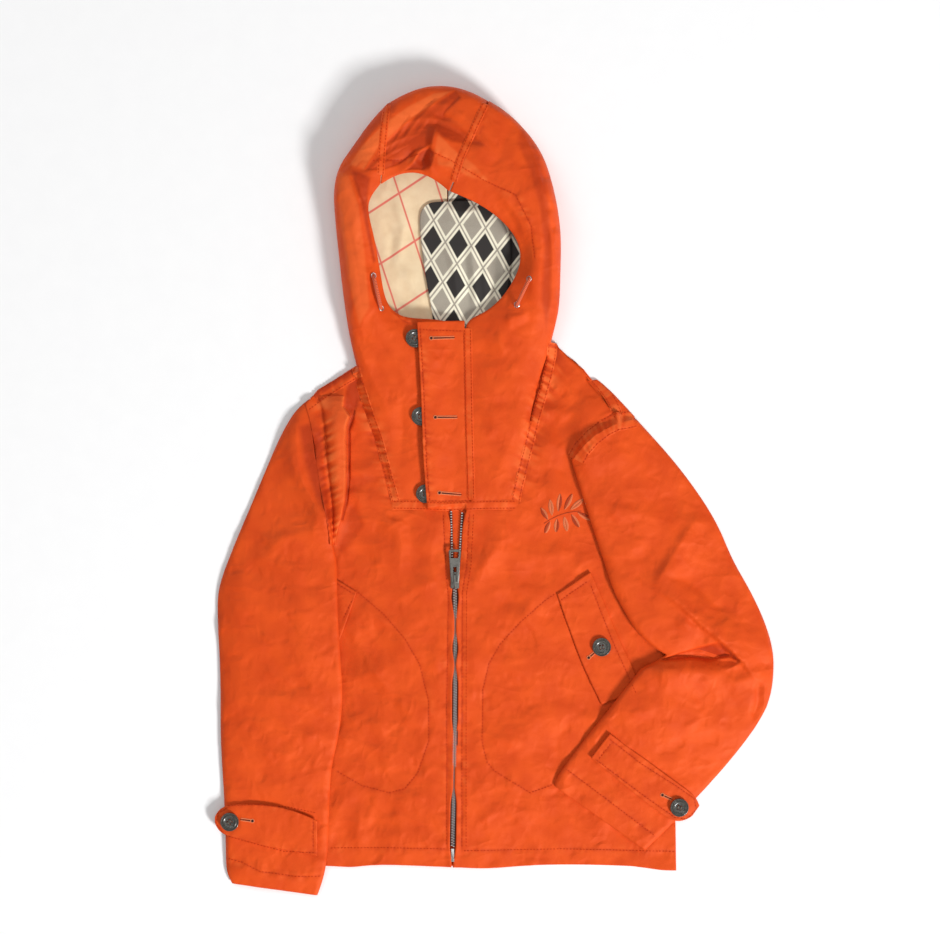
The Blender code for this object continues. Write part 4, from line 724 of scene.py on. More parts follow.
# Shade on the hood is painted: shade above 0 darkens the folds' hollows and the facets turned from the light, and shade
# below 0, with no depth, is painted highlight on facets that face it.
HOOD_HOLLOWS = [
    (1.8, 1.0, 3.0, (431, 151), (436, 160), (433, 172), (424, 176), (414, 175), (404, 176), (414, 166), (421, 156)),
    (1.0, 0.8, 5.0, (433, 118), (444, 117), (462, 130), (478, 142), (492, 155), (474, 153), (456, 150), (443, 146),
     (434, 138)),
    (0.8, 0.75, 1.6, (456, 95), (430, 113), (405, 131), (382, 152), (366, 176), (384, 176), (400, 170), (416, 158),
     (433, 150), (437, 132), (447, 118), (462, 104)),
    (0.0, -0.75, 2.5, (456, 95), (430, 113), (405, 131), (382, 152), (366, 176), (350, 170), (362, 152), (384, 130),
     (408, 112), (434, 98)),
    (0.0, -0.6, 3.0, (438, 136), (452, 152), (476, 170), (492, 190), (470, 184), (450, 174), (438, 172), (434, 156)),
    (0.0, -0.5, 3.0, (338, 172), (352, 180), (362, 210), (368, 260), (372, 310), (360, 330), (348, 280), (340, 220)),
    (0.6, 0.6, 5.0, (520, 128), (538, 150), (545, 180), (550, 212), (552, 250), (552, 300), (546, 340), (538, 300),
     (541, 250), (536, 212), (526, 176), (514, 148)),
    (0.8, 0.9, 4.0, (350, 172), (364, 176), (374, 182), (371, 200), (372, 225), (379, 264), (373, 268), (366, 235),
     (361, 208), (355, 190)),
    (0.6, 0.5, 7.0, (346, 150), (366, 126), (386, 106), (404, 100), (398, 116), (380, 136), (360, 158), (346, 168)),
]
for node in ("hood_side_right", "hood_side_left", "hood_centre"):
    cloth_piece(node, 3, HOOD_CREASES, HOOD_SEAMS, HOOD_CRUMPLES, upper=True, warp=hood_pressed,
                hollows=HOOD_HOLLOWS)

# ---- Hood lining ------------------------------------------------------------------------------
# Three pieces of soft cotton inside the hood, seen through the face opening. The right one is
# beige with a thin rose trellis, the others are woven with a harlequin figure.
BEIGE = (0.88, 0.70, 0.45)
BEIGE_DEEP = (0.74, 0.52, 0.29)
BEIGE_PALE = (0.95, 0.85, 0.65)
CREAM = (0.95, 0.92, 0.78)
CREAM_DEEP = (0.84, 0.78, 0.58)
CHARCOAL = (0.022, 0.018, 0.016)
GREY = (0.52, 0.47, 0.38)
GREY_DEEP = (0.22, 0.19, 0.15)
ROSE = (0.74, 0.17, 0.12)
HARLEQUIN = ((0.026, 0.040), 0.10)  # the figure's cell in metres and its turn


def gridded(add, cell, turn, shift):
    """The two coordinates of a slanted grid with cells of a size in metres, moved by a share."""
    spread = stretched(add, (1 / cell[0], 1 / cell[1], 0), turn)
    moved = add("ShaderNodeVectorMath", [(spread, 0)], operation="ADD")
    moved.inputs[1].default_value = (*shift, 0)
    parts = add("ShaderNodeSeparateXYZ", [(moved.outputs[0], "Vector")])
    return parts.outputs[0], parts.outputs[1]


def lattice(add, thin, *grid):
    """1 in the diamonds of a slanted grid and 0 around them."""
    waves = [reckoned(add, "PINGPONG", part) for part in gridded(add, *grid)]
    return ranged(add, reckoned(add, "ADD", *waves), thin - 0.015, thin + 0.015, 1, 0)


def trellis(add, thin, *grid):
    """1 on thin lines that cross through the middles of a lattice's gaps, and 0 beside them."""
    parts = gridded(add, *grid)
    marks = []
    for operation in ("ADD", "SUBTRACT"):
        wave = reckoned(add, "PINGPONG", reckoned(add, "ADD", reckoned(add, operation, *parts)))
        marks.append(ranged(add, wave, thin - 0.008, thin + 0.008, 1, 0))
    return reckoned(add, "MAXIMUM", *marks)


def lining(name):
    """Soft cotton with a fine uneven weave."""
    made, shader, add, link = finish(name, 0.8, Sheen_Weight=0.15)
    weave = grained(add, (1300, 1300, 1300), 3.0)
    bump = add("ShaderNodeBump", [(weave, "Height")], Strength=0.25, Distance=0.0004)
    link(bump.outputs["Normal"], shader.inputs["Normal"])
    return made, shader, add, link


lining_plain, shader, add, link = lining("lining_plain")
fine = grained(add, (1600, 300, 900))
ground = blended(add, grained(add, (22, 22, 22)), BEIGE_DEEP, BEIGE)
ground = blended(add, ranged(add, fine, 0.4, 0.8, 0, 0.25), ground, BEIGE_PALE)
ground = blended(add, trellis(add, 0.022, (0.052, 0.074), 0.35, (0.1, 0.35)), ground, ROSE)
link(ground, shader.inputs["Base Color"])

lining_harlequin, shader, add, link = lining("lining_harlequin")
streak = grained(add, (1500, 260, 900))
ground = blended(add, ranged(add, streak, 0.35, 0.75), CREAM_DEEP, CREAM)
greys = blended(add, streak, GREY_DEEP, GREY)
ground = blended(add, trellis(add, 0.035, *HARLEQUIN, (0.0, 0.0)), ground, greys)
ground = blended(add, lattice(add, 0.36, *HARLEQUIN, (0.5, 0.5)), ground, greys)
ground = blended(add, lattice(add, 0.37, *HARLEQUIN, (0.0, 0.0)), ground, CHARCOAL)
link(ground, shader.inputs["Base Color"])

LINING_CREASES = [
    (2.2, 4, 5, (446, 240), (454, 270), (460, 316)),
    (2.0, 4, 4, (470, 236), (474, 272), (478, 314)),
    (-1.8, 4, 4, (462, 246), (467, 280), (470, 314)),
    (1.6, 4, 5, (486, 262), (484, 288), (488, 312)),
    (-1.5, 4, 4, (494, 250), (496, 276), (492, 304)),
    (1.8, 5, 5, (392, 196), (404, 226), (398, 262)),
    (-1.6, 4, 5, (384, 216), (392, 240), (390, 270)),
    (1.8, 5, 5, (400, 262), (414, 288), (432, 314)),
    (-1.4, 4, 5, (404, 196), (416, 214), (418, 244)),
    (1.4, 4, 6, (440, 206), (462, 214), (486, 210)),
    (1.4, 5, 6, (500, 222), (506, 250), (500, 284)),
    (-1.3, 4, 4, (378, 280), (392, 296), (404, 314)),
]
LINING_CRUMPLES = [(0.5, 22, 200, 1.2, 1.6), (0.22, 9, 220, 1.3, 1.6)]
for node, material, kind in (
        ("hood_lining_right", lining_plain, "lining_cloth"), ("hood_lining_centre", lining_harlequin, "lining_figured"),
        ("hood_lining_left", lining_harlequin, "lining_figured")):
    cloth_piece(node, 3, LINING_CREASES, (), LINING_CRUMPLES, floor=1.8, material=material)

# ---- Placket ----------------------------------------------------------------------------------
# The doubled flap over the neck opening, edge-stitched all round and pulled up by its rows of
# stitches. It carries the three buttonholes.
PLACKET_EDGE = [(420.5, 328), (422, 349), (424.5, 397), (427, 465), (430, 500)]
PLACKET_SEAMS = [
    (0.25, 0.26, 5, 5.2, *PLACKET_EDGE),
    (0.30, 0.12, 5, 6.5, (464, 334), (465, 380), (466, 430), (468.5, 501)),
    (0.25, 0.12, 4, 6.5, (421, 331), (464, 332)),
    (0.25, 0.14, 4, 6.5, (430, 501), (468, 501)),
]
PLACKET_CREASES = [
    (0.8, 7, 6, (428, 364), (444, 358), (460, 366)),
    (-0.7, 7, 7, (432, 386), (446, 392), (462, 384)),
    (0.7, 7, 7, (430, 440), (448, 434), (464, 444)),
    (-0.5, 7, 7, (434, 462), (450, 468), (466, 460)),
]
PLACKET_CRUMPLES = [(0.30, 22, 240, 0.3, 1.4), (0.10, 9, 260, 0.1, 1.5)]
cloth_piece("placket", 3, PLACKET_CREASES, PLACKET_SEAMS, PLACKET_CRUMPLES, floor=0)

# ---- Sleeves ----------------------------------------------------------------------------------
# Two tubes of the poplin, sewn into the armholes and lying flattened. The right one hangs
# straight, and the left one is bent at the elbow and lies over the front.
SLEEVE_RIGHT_CREASES = [
    (1.6, 6, 12, (296, 408), (298, 440), (299, 466), (306, 490)),
    (-2.6, 6, 12, (296, 413), (300, 445), (304, 470), (316, 497), (330, 528)),
    (2.2, 7, 9, (297, 462), (306, 486), (318, 508), (328, 524)),
    (2.2, 8, 14, (262, 556), (284, 537), (308, 530), (334, 528)),
    (1.2, 14, 7, (268, 556), (292, 571), (318, 570), (337, 561)),
    (-1.4, 9, 12, (296, 584), (316, 586), (334, 576)),
    (-1.0, 7, 8, (233, 560), (246, 572), (258, 584)),
    (0.8, 6, 6, (252, 542), (262, 554), (274, 562)),
    (0.9, 8, 12, (250, 470), (268, 500), (262, 536)),
    (0.9, 10, 9, (230, 610), (262, 604), (300, 616)),
    (0.8, 7, 7, (252, 650), (268, 640), (286, 646)),
    (0.9, 5, 6, (262, 664), (276, 676), (298, 684)),
    (0.8, 5, 6, (284, 668), (296, 662), (308, 664)),
    (0.8, 5, 5, (258, 694), (270, 698), (280, 697)),
    (0.9, 5, 6, (282, 728), (292, 737), (306, 738)),
    (0.9, 5, 6, (300, 742), (312, 734), (326, 728)),
    (0.8, 5, 6, (252, 714), (264, 722), (272, 730)),
    (0.8, 5, 6, (262, 748), (276, 752), (290, 748)),
    (1.0, 6, 6, (300, 786), (310, 796), (324, 800)),
    (-1.0, 8, 5, (228, 794), (256, 800), (292, 808)),
    (1.2, 6, 7, (232, 868), (256, 866), (284, 876)),
    (-1.0, 6, 6, (262, 868), (276, 872), (290, 862)),
    (1.1, 7, 7, (286, 884), (300, 874), (322, 870)),
    (1.0, 6, 6, (318, 792), (324, 812), (322, 850)),
]
SLEEVE_LEFT_CREASES = [
    (1.0, 7, 8, (604, 509), (620, 517), (638, 512)),
    (-0.8, 8, 8, (602, 500), (622, 504), (640, 498)),
    (0.9, 7, 8, (612, 541), (630, 548), (648, 545)),
    (-0.9, 8, 8, (612, 556), (634, 560), (656, 552)),
    (2.4, 9, 4, (654, 594), (658, 577), (668, 560), (686, 532), (700, 509)),
    (5.2, 1.6, 26, (648, 586), (660, 592), (677, 603), (700, 624), (722, 642), (741, 661), (753, 677), (768, 686)),
    (-2.4, 5, 10, (668, 570), (684, 580), (706, 596), (728, 622)),
    (1.8, 6, 14, (676, 612), (690, 632), (704, 640)),
    (1.3, 6, 6, (640, 664), (646, 680), (650, 694)),
    (-1.1, 6, 6, (644, 662), (652, 676), (660, 690)),
    (-3.2, 4, 9, (758, 676), (757, 700), (752, 724)),
    (2.6, 6, 3, (763, 678), (764, 700), (768, 716)),
    (1.2, 10, 8, (700, 664), (712, 690), (734, 722)),
    (-1.2, 9, 9, (712, 668), (726, 692), (744, 716)),
    (1.0, 6, 8, (612, 700), (632, 712), (658, 708)),
    (-0.8, 7, 7, (622, 714), (644, 722), (664, 716)),
    (0.9, 6, 7, (636, 728), (656, 738), (678, 734)),
    (0.9, 7, 7, (668, 752), (688, 762), (706, 758)),
    (0.9, 8, 8, (664, 690), (690, 700), (712, 722)),
    (1.0, 5, 6, (578, 742), (586, 736), (600, 738)),
    (0.9, 7, 8, (600, 470), (616, 456), (636, 450)),
    (0.9, 8, 8, (700, 470), (716, 500), (730, 536)),
]
# The hollow of the elbow's deep fold, darkened with painted shade.
SLEEVE_LEFT_HOLLOWS = [
    (5.5, 0.9, 3.0, (655, 659), (676, 652), (700, 645), (717, 640), (732, 652), (744, 664), (728, 657), (711, 660.5),
     (690, 658.5), (664, 661)),
]
# A slight hollow beside the right armhole, with the painted shadow that the standing pleat casts on the sleeve.
SLEEVE_RIGHT_HOLLOWS = [
    (0.4, 0.85, 7.0, (296, 424), (302, 462), (313, 496), (333, 534), (336, 505), (332, 466), (329, 444), (322, 428),
     (310, 420)),
]
SLEEVE_RIGHT_SEAMS = [
    (0.30, 0.30, 6, 6.0, (324, 408), (327, 453), (333, 493), (333, 526)),
    (0.30, 0.20, 5, 6.5, (227, 857), (243, 861), (261, 870), (296, 875), (321, 875)),
]
SLEEVE_LEFT_SEAMS = [
    (0.30, 0.26, 5, 6.0, (634, 418), (617, 418), (589, 434), (571, 458)),
    (0.20, 0.16, 4, 6.0, (630, 424), (617, 424), (592, 439), (574, 462)),
    (0.30, 0.20, 5, 6.5, (566, 768), (610, 801), (656, 836)),
]
SLEEVE_CRUMPLES = [(2.0, 54, 300, 0.2, 1.3), (0.2, 22, 320, 0.5, 1.2)]
SLEEVE_RIGHT_CREASES += scattered(7, 70, (222, 600, 338, 800), (0.2, 0.7), (8, 26), 0.3, 0.9, 1.5, 5)
SLEEVE_RIGHT_CREASES += scattered(8, 40, (222, 420, 338, 600), (0.15, 0.5), (12, 40), 0.7, 0.5, 2, 8)
SLEEVE_RIGHT_CREASES += scattered(9, 30, (224, 800, 328, 895), (0.2, 0.8), (8, 30), 0.2, 0.6, 2, 6)
SLEEVE_LEFT_CREASES += scattered(10, 60, (570, 430, 770, 650), (0.15, 0.5), (12, 44), 0.2, 0.6, 2, 8)
SLEEVE_LEFT_CREASES += scattered(11, 60, (560, 660, 760, 840), (0.2, 0.7), (10, 34), 0.5, 0.7, 1.8, 6)
cloth_piece(
    "sleeve_right", 3, SLEEVE_RIGHT_CREASES, SLEEVE_RIGHT_SEAMS, SLEEVE_CRUMPLES, upper=True, floor=2.5,
    hollows=SLEEVE_RIGHT_HOLLOWS)
cloth_piece(
    "sleeve_left", 3, SLEEVE_LEFT_CREASES, SLEEVE_LEFT_SEAMS, SLEEVE_CRUMPLES, upper=True, floor=3,
    hollows=SLEEVE_LEFT_HOLLOWS)

# ---- Cuff straps ------------------------------------------------------------------------------
# A doubled tab on each cuff, sewn down at its square end and buttoned at its round one.
STRAP_SEAMS = {
    "right": [(0.25, 0.16, 4, 6.0, (318, 812), (290, 806), (258, 803), (232, 804), (219, 812), (217, 822),
               (226, 834), (250, 841), (284, 850), (317, 851)),
              (0.25, 0.20, 4, 5.0, (314, 818), (314, 848))],
    "left": [(0.25, 0.16, 4, 6.0, (608, 737), (640, 762), (676, 785), (693, 797), (696, 808), (686, 818),
              (674, 816), (640, 792), (595, 758)),
             (0.25, 0.20, 4, 5.0, (611, 741), (598, 758))],
}
STRAP_CRUMPLES = [(0.30, 22, 400, 0.3, 1.3), (0.10, 9, 420, 0.2, 1.4)]
for side, seams in STRAP_SEAMS.items():
    cloth_piece(f"cuff_strap_{side}", 3, (), seams, STRAP_CRUMPLES, floor=0)

# ---- Pocket welts -----------------------------------------------------------------------------
# The doubled slanted flap of each pocket, edge-stitched and sewn down at its ends.
WELT_SEAMS = {
    "left": [(0.25, 0.16, 4, 6.0, (559, 601), (589, 580)), (0.25, 0.12, 4, 7.0, (590, 584), (612, 640), (636, 694)),
             (0.25, 0.12, 4, 7.0, (559, 602), (564, 617), (572, 637), (576, 650), (601, 705))],
    "right": [(0.25, 0.16, 4, 6.0, (337, 583), (354, 594)), (0.25, 0.14, 4, 7.0, (353, 599), (343, 620))],
}
WELT_CRUMPLES = [(0.20, 24, 440, 0.3, 1.3), (0.08, 9, 460, 0.2, 1.4)]
for side, seams in WELT_SEAMS.items():
    cloth_piece(f"pocket_welt_{side}", 3, (), seams, WELT_CRUMPLES, floor=0)

# ---- Felled seams -----------------------------------------------------------------------------
# Where two panels meet, their edges are folded into each other and sewn down twice, so a narrow
# band of doubled cloth lies over each join, drawn up in small puckers by its stitches.
BAND_STEP = 1.1
BAND_WALL = 0.0006
BARE = 1.3  # what lies lower than this, in millimetres, is bare table or the back alone
CLOSING = 11  # how many places across a gap can be that a strip bridges
LOFT = 0.6  # how far a strip's middle stands over what it covers
STITCH_INSET = 1.6  # from a band's edge to its line of stitches
BAND_GROOVE = (0.22, 0.8)  # how deep that line is drawn in, and half its width
BAND_CELL = 1.8
BANDS = {  # name: (width, pucker, pitch, points)
    "hood_seam_right": (8.0, 0.10, 6.0, (388.6, 109), (386.5, 125), (383.6, 155), (382.2, 180)),
    "hood_seam_left": (8.0, 0.10, 6.0, (485.6, 109), (474, 134), (460.5, 164), (453.4, 187)),
    "neck_seam_right": (9.0, 0.36, 5.0, (355.5, 364), (357.5, 374), (366, 402), (379.5, 440), (389, 476),
                        (396, 501)),
    "neck_seam_left": (10.0, 0.36, 5.0, (552.0, 342), (551.5, 357), (546, 382), (535.5, 418), (526.5, 454),
                       (518.5, 486), (515.5, 501)),
    "chest_seam": (10.0, 0.12, 6.5, (392, 504.6), (410, 504.8), (431, 505.6), (450, 506.4), (465, 505.6),
                   (490, 504.8), (517, 504.6)),
    "shoulder_seam_right": (12.0, 0.12, 6.0, (305.5, 407.5), (316.6, 399), (327.6, 391), (342.6, 381.5),
                            (358.4, 372)),
    "shoulder_seam_left": (11.0, 0.18, 6.0, (585, 367), (593, 377), (601, 386), (608, 395), (613, 404),
                           (619, 419)),
    "armhole_seam_left": (19.0, 0.20, 6.0, (636, 418), (626, 420.5), (616, 422), (604, 428), (592, 437),
                          (581, 449), (575, 460)),
    "placket_seam": (9.0, 0.08, 6.5, (467.6, 329), (468.4, 380), (469.2, 430), (471.0, 500)),
}


def surface_of(pieces):
    """Search trees of finished pieces, to find what lies on top at a place."""
    graph = bpy.context.evaluated_depsgraph_get()
    return [BVHTree.FromObject(piece, graph) for piece in pieces]


def top_at(trees, x, y):
    """The height in millimetres of the highest of some surfaces at a place, or None."""
    heights = [tree.ray_cast(at(x, y, 1000 * OVERHEAD), DOWN)[0] for tree in trees]
    heights = [hit.z * 1000 for hit in heights if hit is not None]
    return max(heights) if heights else None


def walked(points, step):
    """Even steps along a line: (x, y, direction x, direction y, way along it)."""
    rows = []
    run = 0.0
    ends = list(zip(points, points[1:]))
    for k, ((x0, y0), (x1, y1)) in enumerate(ends):
        length = math.hypot(x1 - x0, y1 - y0)
        count = max(1, round(length / step))
        for i in range(count + (k == len(ends) - 1)):
            t = i / count
            rows.append((x0 + (x1 - x0) * t, y0 + (y1 - y0) * t, (x1 - x0) / length, (y1 - y0) / length,
                         run + t * length))
        run += length
    return rows


def evened(values, reach):
    """A moving mean along the first axis, with its ends held."""
    padded = np.concatenate([values[:1]] * reach + [values] + [values[-1:]] * reach)
    return sum(padded[k:k + len(values)] for k in range(2 * reach + 1)) / (2 * reach + 1)


def piece_of(name, coords, faces, material):
    """A new mesh of points in metres, as an object with its material."""
    mesh = bpy.data.meshes.new(name)
    mesh.from_pydata(coords, [], faces)
    mesh.materials.append(material)
    made = bpy.data.objects.new(name, mesh)
    scene.collection.objects.link(made)
    return made


def strip(name, place, lift, wear_and_shading, spread=0):
    """A doubled strip of cloth laid over the pieces at rows of places, higher than them by a lift
    in millimetres. It bridges the gaps that it crosses, and ends where nothing lies under it."""
    rows, columns = lift.shape
    raw = np.array([[top_at(body_trees, *spot) or 0 for spot in row] for row in place])
    shown = np.zeros(raw.shape, bool)
    for turned, mark in ((raw.T, shown.T), (raw, shown)):
        over = turned > 0
        mark |= np.maximum.accumulate(over) & np.maximum.accumulate(over[::-1])[::-1]
    raw[raw < BARE] = np.nan
    across = np.arange(columns)
    for row in raw:
        known = ~np.isnan(row)
        if known.any():
            row[:] = np.interp(across, across[known], row[known])
    known = ~np.isnan(raw[:, 0])
    for j in range(columns):
        raw[:, j] = np.interp(np.arange(rows), np.flatnonzero(known), raw[known, j])
    window = min(columns, CLOSING)
    wide = np.pad(raw, ((0, 0), (window - 1, window - 1)), "edge")
    wide = np.max([wide[:, k:k + columns + window - 1] for k in range(window)], axis=0)
    raw = np.min([wide[:, k:k + columns] for k in range(window)], axis=0)
    tall = np.pad(raw, ((spread, spread), (0, 0)), "edge")
    raw = evened(np.max([tall[k:k + rows] for k in range(2 * spread + 1)], axis=0), spread)
    soft = evened(evened(raw, 3).T, 2).T
    ends = 1 - ease(np.minimum(np.arange(rows), np.arange(rows)[::-1]) / 5)[:, None]
    rim = np.maximum(np.abs(np.linspace(-1, 1, columns)) ** 6, ends)
    high = (np.maximum(soft, raw) + LOFT) * (1 - rim) + (raw + 0.1) * rim + lift
    coords = [at(*place[i, j], high[i, j]) for i in range(rows) for j in range(columns)]
    faces = [(i * columns + j, (i + 1) * columns + j, (i + 1) * columns + j + 1, i * columns + j + 1)
             for i in range(rows - 1) for j in range(columns - 1) if shown[i:i + 2, j:j + 2].all()]
    used = sorted({corner for face in faces for corner in face})
    number = {corner: k for k, corner in enumerate(used)}
    made = piece_of(name, [coords[corner] for corner in used],
                    [[number[corner] for corner in face] for face in faces], shell_poplin)
    smoothed(made)
    made.data.attributes.new("wear_and_shading", "FLOAT", "POINT").data.foreach_set("value", wear_and_shading.ravel()[used])
    if made.data.polygons[len(faces) // 2].normal.z < 0:
        made.data.flip_normals()
    modified(made, "SOLIDIFY", thickness=BAND_WALL, offset=-1)
    modified(made, "SUBSURF", levels=1, render_levels=1)
    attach(made, "jacket")
    cloth[name] = made


body_trees = surface_of(cloth.values())
for number, (name, (width, pucker, pitch, *points)) in enumerate(BANDS.items()):
    across = np.linspace(-0.5, 0.5, 2 * round(width / BAND_CELL) + 1)[None, :]
    rows = walked(points, BAND_STEP)
    turns = evened(np.array([(dx, dy) for _, _, dx, dy, _ in rows]), 3)
    turns /= np.hypot(*turns.T)[:, None]
    middle = np.array([(x, y) for x, y, _, _, _ in rows])
    place = middle[:, None, :] + across[:, :, None] * width * np.stack([-turns[:, 1], turns[:, 0]], 1)[:, None, :]
    along = np.array([row[4] for row in rows])[:, None] + 0 * across
    off = across * width + 0 * along
    drift = along + 2.0 * noise(along, off * 0.5, 9.0, 500 + number) + 0.3 * off
    wave = puckered(drift, PUCKER_LONG * off, PUCKER_CELL * pitch, 510 + number)
    groove = np.exp(-((np.abs(off) - (width / 2 - STITCH_INSET)) / BAND_GROOVE[1]) ** 2)
    # The puckers' tops are paler and their dips darker, partly wear and partly painted light and shade; the whole band
    # is a little paler and its stitch lines darker.
    wear_and_shading = 0.2 + 0.7 * wave * min(1, pucker * 3) - 0.4 * groove
    # Painted shade over the outer half of the right shoulder's seam, where it turns down at the outline.
    if name == "shoulder_seam_right":
        wear_and_shading -= 0.9 * ease((1.0 - off) / 3)
    strip(name, place, pucker * wave - BAND_GROOVE[0] * groove, np.clip(wear_and_shading, -1, 1))

# ---- Side fold --------------------------------------------------------------------------------
# Beside the wearer's right armhole the front is not pulled straight: a pleat of it stands up and
# lies over towards the zip, with the puckered armhole seam along its other side.
PLEAT = (  # y, x on the sleeve, x at the armhole seam, x at the pleat's edge, height of that edge
    (396, 305.0, 318.0, 345.0, 0.0), (407, 306.5, 321.5, 344.5, 3.5), (411, 307.5, 322.8, 347.5, 4.6),
    (416, 309.0, 323.4, 351.0, 5.0), (420, 310.0, 324.0, 349.5, 5.2), (426, 311.5, 325.0, 347.6, 5.4),
    (438, 313.5, 326.0, 346.7, 5.6), (460, 316.5, 327.8, 347.0, 5.6), (482, 320.0, 330.6, 346.7, 5.2),
    (499, 323.5, 332.6, 345.6, 4.8), (519, 327.5, 333.6, 341.7, 4.0), (533, 330.0, 333.8, 337.4, 2.4),
    (545, 331.0, 334.0, 335.4, 0.8),
)
PLEAT_STEP = 1.2
PLEAT_ACROSS = 31
PLEAT_CREST = 0.93  # how far over the pleat is at its highest, from its seam to its edge
rows = np.arange(PLEAT[0][0], PLEAT[-1][0] + 0.1, PLEAT_STEP)
levels, *columns = zip(*PLEAT)
start, join, end, rise = (np.interp(rows, levels, column)[:, None] for column in columns)
share = np.linspace(0, 1, PLEAT_ACROSS)[None, :]
way = rows[:, None] + 0 * share
place = np.stack([start + (end - start) * share, way], 2)
beyond = np.clip((place[:, :, 0] - join) / (end - join), 0, 1)
turn_down = np.sqrt(np.clip(1 - ((beyond - PLEAT_CREST) / (1 - PLEAT_CREST)) ** 2, 0, 1))
slope = np.where(beyond < PLEAT_CREST, (beyond / PLEAT_CREST) ** 0.6, turn_down)
off = place[:, :, 0] - join
wave = puckered(way + 0.5 * off, PUCKER_LONG * off, 3.4, 560)
near = np.exp(-(off / 8) ** 2)
groove = np.exp(-(off / 1.0) ** 2)
lift = 1.35 * rise * slope + 0.45 * wave * near - 0.5 * groove
lift -= 1.6 * np.exp(-((off + 3) / 4) ** 2) * ease(share / 0.3)
# Painted light on the pleat's top and a painted highlight along its edge; its puckers paler and darker, partly wear and
# partly painted light and shade, and its seam line darker.
wear_and_shading = 0.35 * ease(beyond / 0.3) + 0.5 * np.exp(-((beyond - 0.95) / 0.07) ** 2) + 0.8 * wave * near - 0.4 * groove
# Painted shadow that the standing pleat casts on the sleeve beside it.
wear_and_shading -= 0.85 * ease((-off - 1) / 5) * ease((way - 412) / 20)
strip("side_pleat", place, lift, np.clip(wear_and_shading, -1, 1), spread=5)

# ---- Stitches ---------------------------------------------------------------------------------
# Every seam is sewn with a heavy orange-red thread, eight stitches to the inch. Each stitch is a
# short round thread that dips into the cloth at both ends.
STITCH_PITCH = 3.3
STITCH_LENGTH = 2.3
THREAD_RADIUS = 0.30
THREAD_SIDES = 6
THREAD_ROWS = ((0, 1, 0.45), (0.2, 0.02, 1), (0.5, -0.08, 1), (0.8, 0.02, 1), (1, 1, 0.45))  # way, dip, width
THREAD_JUMP = 1.6  # a stitch that would climb more than this, in millimetres, is left out

thread = mottled("sewing_thread", 0.8, (1500, 1500, 1500), (0.40, 0.026, 0.005), (0.60, 0.048, 0.009),
                 Specular_IOR_Level=0.1, Specular_Tint=(1, 0.5, 0.3, 1))[0]
cloth_trees = surface_of(cloth.values())


def heading(x0, y0, x1, y1):
    """A line's length and the direction that it goes in."""
    length = math.hypot(x1 - x0, y1 - y0)
    return length, (x1 - x0) / length, (y1 - y0) / length


def threads(name, strokes, material, radius=THREAD_RADIUS, lift=0.12, sink=0.35):
    """Short threads from one place to another on the cloth, each dipping at its ends."""
    coords, faces = [], []
    ring = [(math.cos(turn), math.sin(turn)) for turn in np.arange(THREAD_SIDES) * 2 * math.pi / THREAD_SIDES]
    for x0, y0, x1, y1 in strokes:
        _, ux, uy = heading(x0, y0, x1, y1)
        spots = []
        for t, dip, wide in THREAD_ROWS:
            x, y = x0 + (x1 - x0) * t, y0 + (y1 - y0) * t
            high = top_at(cloth_trees, x, y)
            if high is not None:
                spots.append((x, y, high + lift - (sink if dip == 1 else dip), wide * radius))
        heights = [spot[2] for spot in spots]
        if len(spots) < len(THREAD_ROWS) or max(heights) - min(heights) > THREAD_JUMP:
            continue
        first = len(coords)
        coords += [at(x - uy * wide * side, y + ux * wide * side, z + wide * up)
                   for x, y, z, wide in spots for side, up in ring]
        for a in range(first, first + 4 * THREAD_SIDES, THREAD_SIDES):
            for i in range(THREAD_SIDES):
                j = (i + 1) % THREAD_SIDES
                faces.append((a + i, a + THREAD_SIDES + i, a + THREAD_SIDES + j, a + j))
        faces.append(tuple(range(first, first + THREAD_SIDES)))
        faces.append(tuple(reversed(range(first + 4 * THREAD_SIDES, first + 5 * THREAD_SIDES))))
    made = piece_of(name, coords, faces, material)
    smoothed(made)
    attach(made, "jacket")


def run_of(points, shift=0.0, pitch=STITCH_PITCH, length=STITCH_LENGTH):
    """The stitches of a seam, moved to its right by a shift."""
    rows = walked(points, 0.5)
    strokes = []
    way = pitch / 2
    step = 0
    while way + length < rows[-1][4]:
        while rows[step][4] < way:
            step += 1
        x, y, dx, dy, _ = rows[step]
        x, y = x - dy * shift, y + dx * shift
        strokes.append((x, y, x + dx * length, y + dy * length))
        way += pitch
    return strokes


STITCHED = {
    "fronts": [seam[4:] for seam in FRONT_RIGHT_SEAMS[:3] + FRONT_LEFT_SEAMS[:3]],
    "hood": [seam[4:] for seam in HOOD_SEAMS[2:4]],
    "placket": [seam[4:] for seam in PLACKET_SEAMS],
    "cuffs": [SLEEVE_RIGHT_SEAMS[1][4:], SLEEVE_LEFT_SEAMS[2][4:]]
    + [seam[4:] for seams in STRAP_SEAMS.values() for seam in seams],
    "pockets": [seam[4:] for seams in WELT_SEAMS.values() for seam in seams],
}
for name, runs in STITCHED.items():
    strokes = [stroke for points in runs for stroke in run_of(points)]
    if name == "fronts":
        strokes += run_of(FRONT_LEFT_SEAMS[0][4:], -4.2)
    threads(f"stitches_{name}", strokes, thread)
threads("stitches_seams", [
    stroke for width, _, _, *points in BANDS.values()
    for shift in (width / 2 - STITCH_INSET, STITCH_INSET - width / 2) for stroke in run_of(points, shift)], thread)

